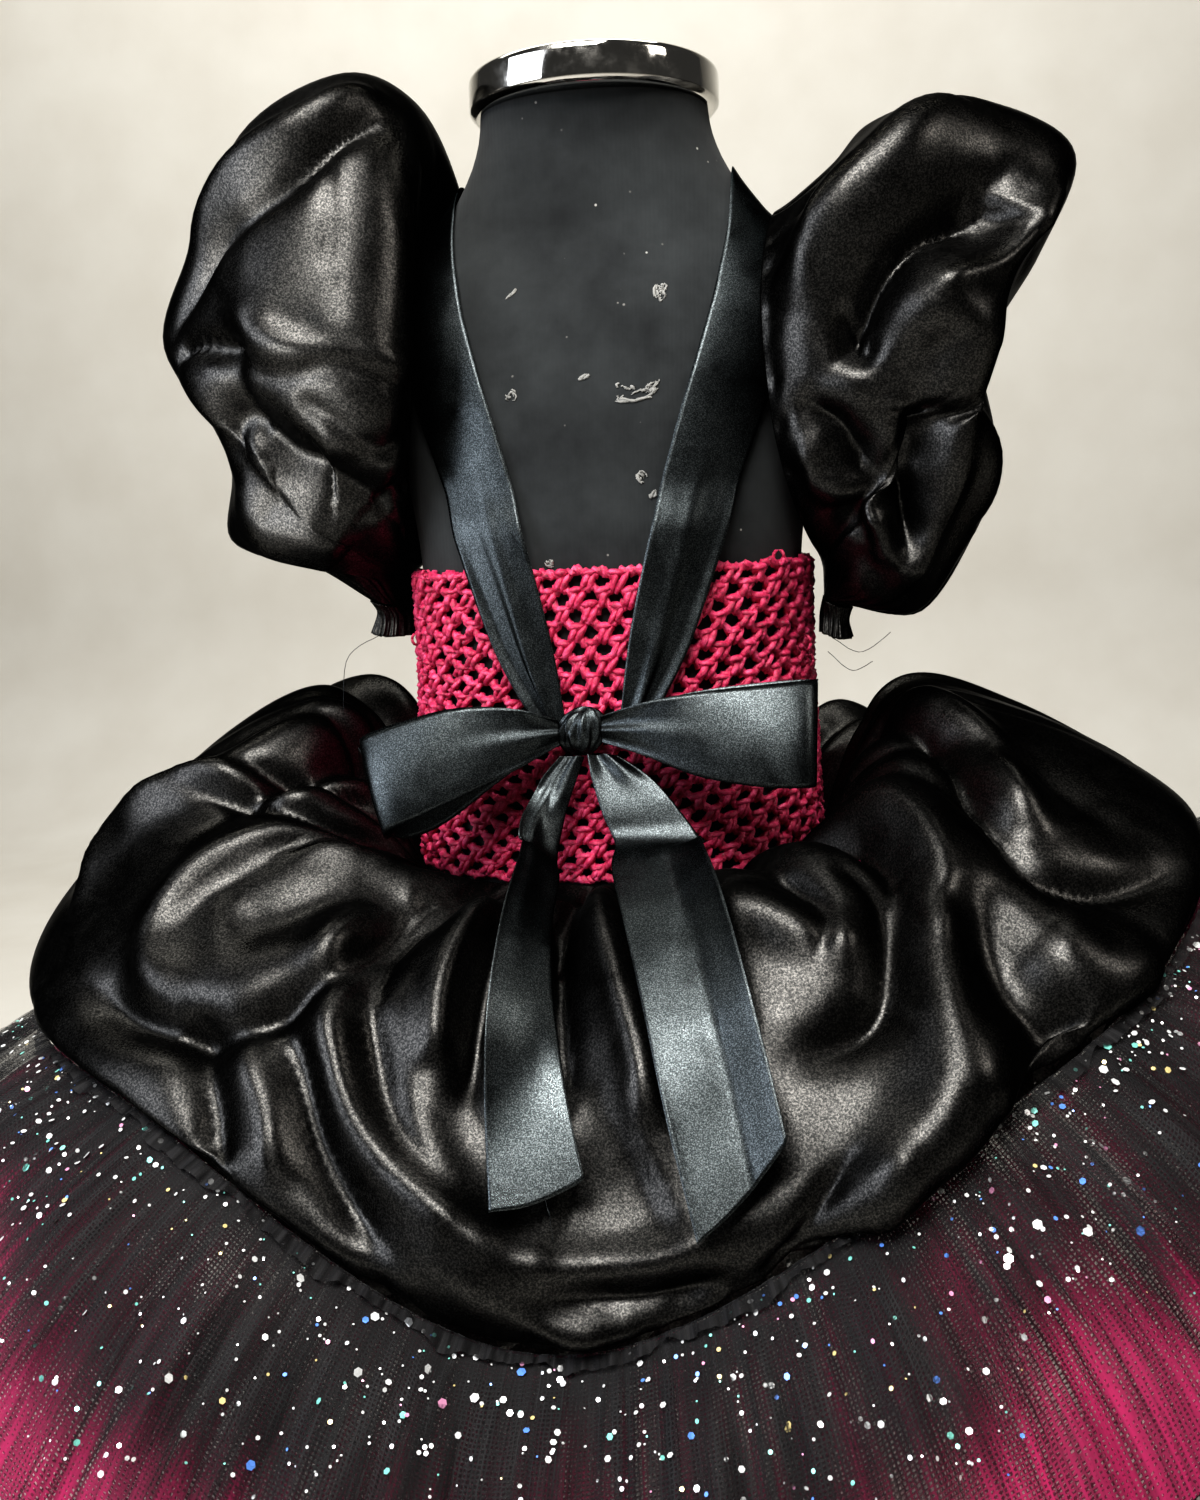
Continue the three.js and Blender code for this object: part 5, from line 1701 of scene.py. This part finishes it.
LEFT_SLEEVE = PuffSleeve(
    Side.LEFT,
    (
        (80, 283, 93.4, 136.6, 58, 56, 12),
        (74, 299, 93.8, 136.1, 67, 64, 10),
        (71, 321, 94.2, 135.5, 76, 74, 6),
        (83, 345, 94.6, 134.9, 83, 80, 2),
        (108, 355, 95, 134.3, 86, 82, 0),
        (150, 336, 95.4, 133.7, 84, 80, 0),
        (179, 290, 95.7, 133.1, 76, 72, 0),
        (200, 247, 96, 132.5, 68, 64, 0),
        (183, 214, 96.3, 131.9, 62, 58, 0),
        (174, 186, 96.6, 131.4, 57, 53, 0),
        (178, 153, 96.9, 130.6, 50, 46, 0),
        (146, 143.5, 97.2, 128, 42, 39, 0),
        (113, 123, 97.4, 118.5, 28, 26, 0),
    ),
    (
        Fold("roll valley", (44, 50, 61, 61, 48, 38), (0.56, 0.484, 0.42, 0.356, 0.28, 0.24), 7, -10, 1.4),
        Fold("roll crest", (34, 40, 47, 46, 30), (0.5, 0.46, 0.4, 0.33, 0.26), 9, 6),
        Fold("face crease", (58, 77, 84), (0.316, 0.312, 0.33), 4, -1.8, 1.2),
        Fold("tuck", (50, 58, 75, 86), (0.58, 0.552, 0.51, 0.46), 5, -8, 1.2),
        Fold("high cross crease", (84, 96, 86), (0.45, 0.31, 0.1), 6, -3.5, 1.3),
        Fold("cross ridge", (78, 97, 92), (0.48, 0.355, 0.1), 10, 4),
        Fold("face swell", (80, 100, 97), (0.5, 0.36, 0.06), 27, 9),
        Fold("face low swell", (114, 122, 118), (0.44, 0.3, 0.1), 19, 9),
        Fold("low cross crease", (69, 99, 96), (0.532, 0.4, 0.08), 6, -5, 1.3),
        Fold("fan upper", (103, 113, 118), (0.412, 0.332, 0.224), 5, -3.5, 1.2),
        Fold("fan inner", (101, 111, 118), (0.072, 0.164, 0.224), 5, -3.5, 1.2),
        Fold("lower valley", (83, 89, 108, 128, 136), (0.64, 0.54, 0.5, 0.36, 0.16), 11, -11, 1.5),
        Fold("lower crest", (64, 80, 110, 134), (0.72, 0.78, 0.73, 0.62), 13, 7),
        Fold("front roll valley", (-44, -58, -60, -46), (0.56, 0.45, 0.36, 0.26), 8, -9, 1.4),
        Fold("front cross crease", (-80, -96, -92), (0.5, 0.38, 0.12), 7, -6, 1.3),
        Fold("front dent", (-70, -96, -112), (0.62, 0.6, 0.48), 13, -9),
    ),
    (
        (112.4, 121.9, 97.3, 117.4, 27.6, 25.6, 0),
        (109, 115.5, 95.8, 112.5, 25, 23.5, 0),
        (111, 106, 96, 104, 28, 26, 0),
    ),
)
RIGHT_SLEEVE = PuffSleeve(
    Side.RIGHT,
    (
        (80, 283.4, 93.4, 136.6, 58, 56, 12),
        (89, 289, 93.8, 135.9, 66, 64, 10),
        (105, 301, 94.2, 135.1, 73, 72, 6),
        (120, 316, 94.6, 134.3, 78, 76, 2),
        (148, 323, 95, 133.5, 81, 78, 0),
        (184, 315, 95.4, 132.6, 80, 76, 0),
        (205, 295, 95.7, 131.6, 76, 72, 0),
        (190, 258, 96, 130.6, 72, 66, 0),
        (167, 218, 96.2, 129.6, 68, 60, 0),
        (171, 180, 96.4, 128.8, 64, 54, 0),
        (163, 142, 96.6, 127.4, 54, 47, 1),
        (140, 107, 96.7, 123.8, 42, 37, 2),
        (110, 111, 96.8, 116.5, 28, 26, 3),
    ),
    (
        Fold("big roll", (76, 63, 61, 52, 29), (0.08, 0.14, 0.236, 0.308, 0.356), 16, 14),
        Fold(
            "roll under valley",
            (97, 92, 86, 80, 68, 52),
            (0.24, 0.288, 0.308, 0.335, 0.384, 0.42),
            8,
            -16,
            1.3,
        ),
        Fold("hollow", (64, 68, 58), (0.4, 0.43, 0.44), 15, -13),
        Fold("hollow rim", (84, 81, 73, 58, 41), (0.38, 0.425, 0.475, 0.5, 0.5), 6, 9, 1.7),
        Fold("small tuck", (87, 93, 98, 95), (0.235, 0.268, 0.308, 0.335), 4, -7, 1.2),
        Fold("lobe ridge", (84, 88, 79, 50, 30), (0.36, 0.42, 0.6, 0.74, 0.82), 14, 11),
        Fold("leaf inner edge", (108, 117, 106, 74), (0.456, 0.564, 0.776, 0.89), 7, 11),
        Fold("leaf outer edge", (66, 73, 75, 69), (0.64, 0.748, 0.836, 0.89), 7, 9),
        Fold("leaf valley", (102, 95, 86), (0.5, 0.7, 0.85), 10, -15, 1.5),
        Fold("inner valley", (101, 112, 124, 122, 114), (0.12, 0.25, 0.42, 0.62, 0.8), 8, -9, 1.4),
        Fold("inner crest", (112, 128, 136), (0.1, 0.22, 0.44), 9, 5),
        Fold("front roll valley", (-90, -80, -66, -50), (0.3, 0.34, 0.4, 0.44), 8, -10, 1.4),
        Fold("front ridge", (-84, -88, -76, -50), (0.4, 0.46, 0.62, 0.76), 12, 7),
        Fold("front dent", (-70, -96, -112), (0.7, 0.64, 0.5), 13, -9),
    ),
    (
        (109.5, 109.8, 96.7, 115.3, 27.5, 25.5, 3),
        (107.5, 104, 95.8, 109, 26, 24.5, 1.5),
        (108.5, 96, 96, 100.5, 28, 26, 2.5),
    ),
)


# ---------------------------------------------------------------- ribbon


@dataclass
class RibbonStrap:
    """One shoulder strap of wide satin ribbon, from the knot over the shoulder to the front."""

    form: DressForm
    side: Side
    pivot: float = 235.0
    thickness: float = 0.2
    # Points along the ribbon and across it.
    grid: tuple[int, int] = (170, 21)
    # Angle from the shoulder's middle, distance from the dress's middle, width.
    path: Rows = (
        (-65.2, 17, 11),
        (-61, 29.5, 28),
        (-52, 43, 36),
        (-40, 54, 38),
        (-20, 64, 38),
        (5, 71.5, 38),
        (30, 75, 36.5),
        (55, 77, 34),
        (78, 77, 32),
        (100, 77, 32),
        (125, 77, 34),
        (150, 75, 36),
        (175, 71.5, 38),
        (200, 65, 38),
        (222, 55.5, 38),
        (240.5, 48, 38),
    )

    def on_form(self, x: Array, degrees: Array, lift: Array) -> Array:
        """Points on the form grown by a little, outward from the shoulder's middle in a direction.

        Args:
            x: distances across.
            degrees: directions from straight back, upward.
            lift: how far the ribbon stands off.

        Returns:
            The points.
        """
        angle = np.radians(degrees)
        near, far = np.zeros_like(x), np.full_like(x, 300.0)
        for _ in range(36):
            middle = 0.5 * (near + far)
            up = self.pivot + middle * np.sin(angle)
            over = 2.5 + 4.5 * (1 - rise(up, 146, 170)) + lift
            outside = self.form.measure(x, -middle * np.cos(angle), up, over) > 1
            far = np.where(outside, middle, far)
            near = np.where(outside, near, middle)
        return np.stack([x, -near * np.cos(angle), WAIST + self.pivot + near * np.sin(angle)], -1)

    def build(self) -> None:
        """Makes the strap, drawn into lengthwise folds near the knot."""
        rows = np.array(self.path)
        share = np.linspace(0, 1, self.grid[0])[:, None]
        across = np.linspace(-1, 1, self.grid[1])[None, :]
        half = 0.5 * along(rows[:, 2], share)
        drawn = 1 - rise(share, 0.03, 0.27)
        folds = drawn**2 * (1.2 * np.cos(5.2 * across + 0.9) + 0.4 * np.cos(11 * across + 1.2))
        crown = 0.5 * (1 - across**2) * rise(share, 0.1, 0.3)
        x = self.side.value * (along(rows[:, 1], share) + half * across)
        degrees = along(rows[:, 0], share) + 0 * across
        grid = self.on_form(x, degrees, np.maximum(folds + 0.6 * drawn, 0) + crown)
        if self.side is Side.LEFT:
            grid = grid[:, ::-1]
        strap = cloth(f"ribbon_strap_{self.side.word}", grid, thickness=self.thickness)
        take_place(strap, RIBBON, Record.RIBBON, f"strap_{self.side.word}")


@dataclass
class Bow:
    """The bow at the middle of the back: two loops, the knot and two tails."""

    form: DressForm
    shell: SkirtShell
    thickness: float = 0.2
    # Points along the ribbon and across it.
    grid: tuple[int, int] = (150, 19)
    # Half width, half depth and half height of the knot, and how far a tail lies off the skirt's shell.
    knot_size: tuple[float, float, float] = (10.0, 5.6, 9.4)
    tail_off: float = 13.0
    # Across, back, up, width and lean of each loop's middle line, out from the knot and back again.
    left: Rows = (
        (-12.8, 86.5, 66.5, 11, 0),
        (-30, 93, 65, 25, 3),
        (-52, 97, 61, 35, 9),
        (-74, 98, 54, 39, 14),
        (-90, 96, 48, 40, 18),
        (-92, 90, 43.5, 40, 20),
        (-85, 84.6, 40.5, 38, 20),
        (-68, 84.2, 45.5, 35, 14),
        (-46, 84, 57, 29, 8),
        (-26, 84, 65, 19, 3),
        (-14.2, 83, 66, 10, 0),
    )
    right: Rows = (
        (4.8, 86.5, 67.5, 11, 0),
        (24, 93, 68, 22, -3),
        (46, 97, 66, 33, -4),
        (70, 99, 65, 39, -4),
        (88, 97, 65, 41, -2),
        (93, 91, 65, 41, -2),
        (88, 85.5, 65, 41, -2),
        (68, 84.8, 66, 37, -3),
        (42, 84.2, 67, 29, -3),
        (20, 84, 67, 18, -2),
        (6.2, 83, 67, 10, 0),
    )

    def loop(self, side: Side) -> None:
        """One loop, cupped a little, with short creases that leave the knot.

        Args:
            side: which loop.
        """
        rows = np.array(self.left if side is Side.LEFT else self.right)
        share = np.linspace(0, 1, self.grid[0])[:, None]
        across = np.linspace(-0.5, 0.5, self.grid[1])[None, :]
        row = along(rows, share[:, 0])[:, None, :]
        lean = np.radians(row[..., 4])
        offset = row[..., 3] * across
        front = share < 0.5
        from_knot = np.minimum(share, 1 - share)
        creases = 1.3 * np.cos(11 * across + 0.9) + 0.4 * np.cos(23 * across)
        crease = np.exp(-((from_knot / 0.12) ** 2)) * creases
        cup = 3.6 * (1 - 4 * across**2) * np.sin(math.pi * share) ** 1.5
        back = row[..., 1] + np.where(front, 1, -0.15) * cup
        back = back + np.where(front, 1.0, 0.2) * np.maximum(crease, -0.6)
        x = row[..., 0] - offset * np.sin(lean)
        up = row[..., 2] + offset * np.cos(lean)
        back = back - 0.42 * offset * np.sin(math.pi * share) * np.where(front, 1, 0.15)
        grid = np.stack([x, -back, WAIST + up], -1)
        if side is Side.LEFT:
            grid = grid[:, ::-1]
        piece = cloth(f"bow_loop_of_ribbon_{side.word}", grid, thickness=self.thickness)
        take_place(piece, RIBBON, Record.RIBBON, f"bow_loop_{side.word}")

    def knot(self) -> None:
        """The knot: ribbon wound over itself, pinched to a small creased lump."""
        turn = np.linspace(0, 2 * math.pi, 96, endpoint=False)[None, :]
        tilt = np.linspace(-0.5 * math.pi, 0.5 * math.pi, 40)[:, None]
        ridges = 1 + 0.09 * np.cos(9 * turn + 2 * np.sin(tilt * 2)) * np.cos(tilt)
        ridges = ridges + 0.05 * np.cos(17 * turn + 1.0) * np.cos(tilt)
        pinch = np.cos(tilt) ** 0.8
        wide, deep, high = self.knot_size
        x = wide * ridges * pinch * np.cos(turn) + 1.5 * np.sin(tilt)
        y = deep * ridges * pinch * np.sin(turn)
        z = high * np.sin(tilt) * (1 + 0.1 * np.cos(2 * turn + 0.8))
        back = self.form.point(math.atan2(-4, 70), 66.0, 3.9)[1]
        grid = np.stack([x - 4, y + back - 6.4, z + WAIST + 66], -1)
        piece = cloth("ribbon_knot", grid, closed=True)
        take_place(piece, RIBBON, Record.RIBBON, "bow_knot")

    def tail(self, side: Side) -> None:
        """One tail: down over the bodice and on over the skirt, with its end cut aslant.

        Args:
            side: which tail.
        """
        if side is Side.LEFT:
            high = [(-8, 84.4, 56, 10), (-14, 88, 46, 15), (-19, 94, 32, 16), (-20, 103, 19, 14)]
            low = [(-9, 0.28, 16), (-7.4, 0.39, 19), (-5.4, 0.5, 25), (-3, 0.61, 32), (-0.8, 0.72, 38)]
        else:
            high = [(4.5, 84.4, 56.6, 12), (13, 89, 47, 25), (22, 96, 33, 33), (29, 102, 22, 36)]
            low = [(16, 0.29, 38), (16.4, 0.41, 37), (17, 0.54, 36), (17.6, 0.67, 35), (18.2, 0.8, 33)]
        four = np.linspace(-0.5, 0.5, 4)
        keys = [
            np.stack([across + width * four, np.full(4, -back), np.full(4, WAIST + up)], -1)
            for across, back, up, width in high
        ]
        for azimuth, fall, width in low:
            middle = self.shell.point(np.array(azimuth), np.array(fall))
            spread = math.degrees(width / math.hypot(middle[0], middle[1]))
            degrees = azimuth + spread * four
            reach = np.full(4, fall)
            keys.append(self.shell.point(degrees, reach) + self.tail_off * self.shell.normal(degrees, reach))
        keys = np.array(keys)
        many, wide = self.grid
        share = np.linspace(0, 1, many)[:, None]
        across = np.linspace(0, 1, wide)[None, :]
        cut = 0.055 if side is Side.LEFT else 0.075
        length = share * (1 - cut * across)
        rows = np.stack([along(keys[:, k], length.ravel()).reshape(many, wide, 3) for k in range(4)], 2)
        grid = np.empty((many, wide, 3))
        for i in range(wide):
            grid[:, i] = np.array([along(rows[j, i], across[:, i])[0] for j in range(many)])
        normal = -grid_normals(grid, False)
        if side is Side.LEFT:
            fold = 1.6 * np.exp(-((across - 0.35) ** 2) / 0.02) * (1 - rise(share, 0.35, 0.8))
            fold = fold + 1.1 * np.cos(9 * across) * (1 - rise(share, 0.05, 0.4))
            slope = (13.0 * (1 - across) - 2.5) * rise(share, 0.14, 0.34)
            fold = fold + slope * (1 - rise(share, 0.75, 0.93))
        else:
            roof = np.where(across < 0.6, across / 0.6, (1 - across) / 0.4)
            fold = 5.0 * (1 - roof) * rise(share, 0.42, 0.62)
            fold = fold + 1.2 * np.cos(10 * across) * (1 - rise(share, 0.03, 0.22))
            wave = 1.6 * np.sin(5.2 * math.pi * share + 0.6) * rise(share, 0.2, 0.35)
            fold = fold + wave * (1 - rise(share, 0.8, 0.95))
        grid = grid + fold[..., None] * normal
        piece = cloth(f"bow_tail_of_ribbon_{side.word}", grid[:, ::-1], thickness=self.thickness)
        take_place(piece, RIBBON, Record.RIBBON, f"bow_tail_{side.word}")

    def build(self) -> None:
        """Makes the loops, the knot and the tails."""
        for side in Side:
            self.loop(side)
        self.knot()
        for side in Side:
            self.tail(side)


# ---------------------------------------------------------------- small trim


@dataclass
class Oddments:
    """The small things on it: dried glue on the jersey, loose threads and loops of yarn."""

    form: DressForm
    # How far the form's back is from its middle, for azimuths by distance across.
    back: float = 68.0
    # Each glue mark: across the back, height over the waist, width, height, and its slant in degrees.
    marks: Rows = (
        (44, 247, 11, 5, 35),
        (43, 246, 7, 8, -20),
        (26, 204, 24, 5, 8),
        (31, 207, 11, 3, 30),
        (19, 207, 9, 2.5, -12),
        (-17, 136, 4, 5, 70),
        (29, 163, 8, 4, 60),
        (24, 170, 5, 7, 30),
        (0, 212, 5, 1.6, 20),
        (-36, 206, 6, 7, 80),
        (-44, 250, 9, 1.5, 40),
    )
    # Each loop of yarn: azimuth in radians, height over the waist, and size.
    loops: Rows = (
        (1.28, 96, 3.6),
        (1.33, 88, 2.8),
        (-1.3, 103, 2.6),
        (1.05, 134, 3.4),
        (-1.34, 60, 2.4),
        (-1.02, 132.5, 2.2),
    )
    thread: float = 0.16
    yarn: float = 0.75

    def back_point(self, across: Array, up: Array, out: float) -> Array:
        """Points on the form's back by distance across and height."""
        return self.form.point(np.arctan2(across, self.back), up, out)

    def glue(self) -> None:
        """Thin ragged crusts of dried glue, each a ring of broken strokes."""
        draw = np.random.default_rng(51)
        paths, radii = [], []
        for across, up, wide, high, slant in self.marks:
            tilt = math.radians(slant)
            for _ in range(9):
                start = draw.uniform(0, 2 * math.pi)
                turn = start + np.linspace(0, draw.uniform(0.7, 2.4), 9)
                scale = draw.uniform(0.15, 1.0)
                u = 0.5 * wide * scale * np.cos(turn) + draw.normal(0, 0.03 * wide, 9)
                v = 0.5 * high * scale * np.sin(turn) + draw.normal(0, 0.05 * high, 9)
                x = across + u * math.cos(tilt) - v * math.sin(tilt)
                z = up + u * math.sin(tilt) + v * math.cos(tilt)
                paths.append(self.back_point(x, z, 0.25))
                radii.append(draw.uniform(0.22, 0.5) * (0.4 + np.sin(np.linspace(0.15, math.pi - 0.15, 9))))
        take_place(tubes("glue_marks", paths, radii, 5), GLUE, Record.JERSEY)

    def threads(self) -> None:
        """Loose sewing threads at the cuffs, the left tail's end and the crochet's edge."""
        draw = np.random.default_rng(52)
        black = [
            ((-104, -27, WAIST + 106), (-118, -36, WAIST + 96), (-121, -38, WAIST + 70)),
            ((100, -27, WAIST + 98), (112, -36, WAIST + 92), (125, -34, WAIST + 100)),
            ((98, -27, WAIST + 92), (108, -34, WAIST + 84), (117, -38, WAIST + 88)),
            ((-2, -214.5, 402), (0, -217, 396), (1, -218, 388)),
        ]
        steps = np.linspace(0, 1, 14)
        paths = [along(np.array(run, float), steps) + draw.normal(0, 0.08, (14, 3)) for run in black]
        sizes = [np.full(len(steps), self.thread)] * len(paths)
        take_place(tubes("loose_threads", paths, sizes, 5), RIBBON, Record.RIBBON)
        pink, sizes = [], []
        turn = np.linspace(0, 2 * math.pi, 13)
        for angle, up, size in self.loops:
            middle = self.form.point(np.array(angle), np.array(float(up)), 5.2)
            side = np.array([math.sin(angle), -math.cos(angle), 0])
            ring = np.cos(turn)[:, None] * side * 0.8 + np.sin(turn)[:, None] * np.array([0, 0, 1])
            pink.append(middle + size * ring)
            sizes.append(np.full(len(turn), self.yarn))
        take_place(tubes("loose_loops_of_yarn", pink, sizes, 6), CROCHET, Record.CROCHET)

    def build(self) -> None:
        """Makes the glue marks and the threads."""
        self.glue()
        self.threads()


# ---------------------------------------------------------------- studio


@dataclass(frozen=True)
class Lamp:
    """One square soft light, in metres and watts, that lights everything or one piece only."""

    name: str
    place: tuple[float, float, float]
    aim: tuple[float, float, float]
    size: float
    power: float
    colour: str
    only: str = ""


@dataclass
class Studio:
    """Floor, backdrop, lights and camera."""

    azimuth: float = 8.0
    yaw: float = 0.75
    pitch: float = -8.0
    roll: float = 2.4
    distance: float = 700.0
    height: float = WAIST + 145
    lens: float = 36.0
    # The wall's distance and height, the floor's near edge and half its width, the bend's radius between
    # floor and wall, and the room's light.
    wall: float = 2700.0
    high: float = 4200.0
    front: float = -3600.0
    half: float = 4200.0
    bend: float = 500.0
    air: str = "#dcdad6"
    air_strength: float = 0.06
    lamps: tuple[Lamp, ...] = (
        Lamp("ceiling", (-0.12, -0.9, 1.75), (0, 0, 0.55), 0.8, 36, "#fffcf8"),
        Lamp("window", (-1.2, -0.85, 1.0), (0, 0, 0.6), 0.9, 15, "#f2f6ff"),
        Lamp("fill", (1.3, -0.5, 1.5), (0, 0, 0.5), 0.4, 5, "#fff8f0"),
        Lamp("bounce", (-0.7, -0.95, 0.56), (-0.2, -0.06, 0.72), 0.6, 13, "#fbf9f6", "satin_sleeve_left"),
        Lamp("wall wash", (-0.5, 1.2, 3.1), (-0.5, 2.7, 1.3), 2.6, 88, "#fffcf5"),
    )

    def camera(self) -> None:
        """The camera, at eye height behind the dress and a little to its right."""
        angles = (self.azimuth, self.azimuth + self.yaw, self.pitch, self.roll)
        az, turn, tilt, roll = (math.radians(angle) for angle in angles)
        place = Vector((self.distance * math.sin(az), -self.distance * math.cos(az), self.height)) * MM
        ahead = Vector((-math.sin(turn) * math.cos(tilt), math.cos(turn) * math.cos(tilt), math.sin(tilt)))
        right = ahead.cross(Vector((0, 0, 1))).normalized()
        up = right.cross(ahead)
        r2 = right * math.cos(roll) - up * math.sin(roll)
        u2 = up * math.cos(roll) + right * math.sin(roll)
        data = bpy.data.cameras.new("camera")
        data.sensor_width = 36.0
        data.lens = self.lens
        data.clip_start = 0.02
        made = bpy.data.objects.new("camera", data)
        bpy.context.scene.collection.objects.link(made)
        basis = Matrix((r2, u2, -ahead)).transposed().to_4x4()
        made.matrix_world = Matrix.Translation(place) @ basis
        bpy.context.scene.camera = made

    def light(self, lamp: Lamp) -> None:
        """Hangs one light.

        Args:
            lamp: the light.
        """
        data = bpy.data.lights.new(lamp.name, "AREA")
        data.size = lamp.size
        data.energy = lamp.power
        data.color = linear(lamp.colour)[:3]
        made = bpy.data.objects.new(lamp.name, data)
        bpy.context.scene.collection.objects.link(made)
        made.location = lamp.place
        made.rotation_euler = (Vector(lamp.aim) - Vector(lamp.place)).to_track_quat("-Z", "Y").to_euler()
        if lamp.only:
            lit = bpy.data.collections.new(f"lit by {lamp.name}")
            lit.objects.link(bpy.data.objects[lamp.only])
            made.light_linking.receiver_collection = lit

    def build(self) -> None:
        """Makes the floor that curves up into the wall, the lights and the camera."""
        near = self.wall - self.bend
        profile = [(self.front, 0), (near, 0)]
        for angle in np.linspace(0.1, math.pi / 2, 12):
            profile.append((near + self.bend * math.sin(angle), self.bend - self.bend * math.cos(angle)))
        profile.append((self.wall, self.high))
        columns = np.linspace(-self.half, self.half, 8)
        grid = np.array([[(x, y, z) for x in columns] for y, z in profile])
        floor = cloth("studio_floor", grid)
        WALL.dress(floor)
        world = bpy.data.worlds.new("studio")
        world.use_nodes = True
        back = world.node_tree.nodes["Background"]
        back.inputs[0].default_value = linear(self.air)
        back.inputs[1].default_value = self.air_strength
        bpy.context.scene.world = world
        for lamp in self.lamps:
            self.light(lamp)
        scene = bpy.context.scene
        scene.view_settings.view_transform = "Standard"
        scene.view_settings.look = "Medium High Contrast"
        self.camera()


def main() -> None:
    """Builds every piece in order and reports each."""
    logging.basicConfig(level=logging.INFO, format="%(name)s: %(message)s")
    form = DressForm()
    form.build()
    shell = SkirtShell(form)
    SatinOverskirt(shell).build()
    TulleSkirts(shell).build()
    CrochetBodice(form).build()
    for sleeve in (LEFT_SLEEVE, RIGHT_SLEEVE):
        sleeve.build()
    for side in Side:
        RibbonStrap(form, side).build()
    Bow(form, shell).build()
    Oddments(form).build()
    Studio().build()
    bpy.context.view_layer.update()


if __name__ == "__main__":
    main()
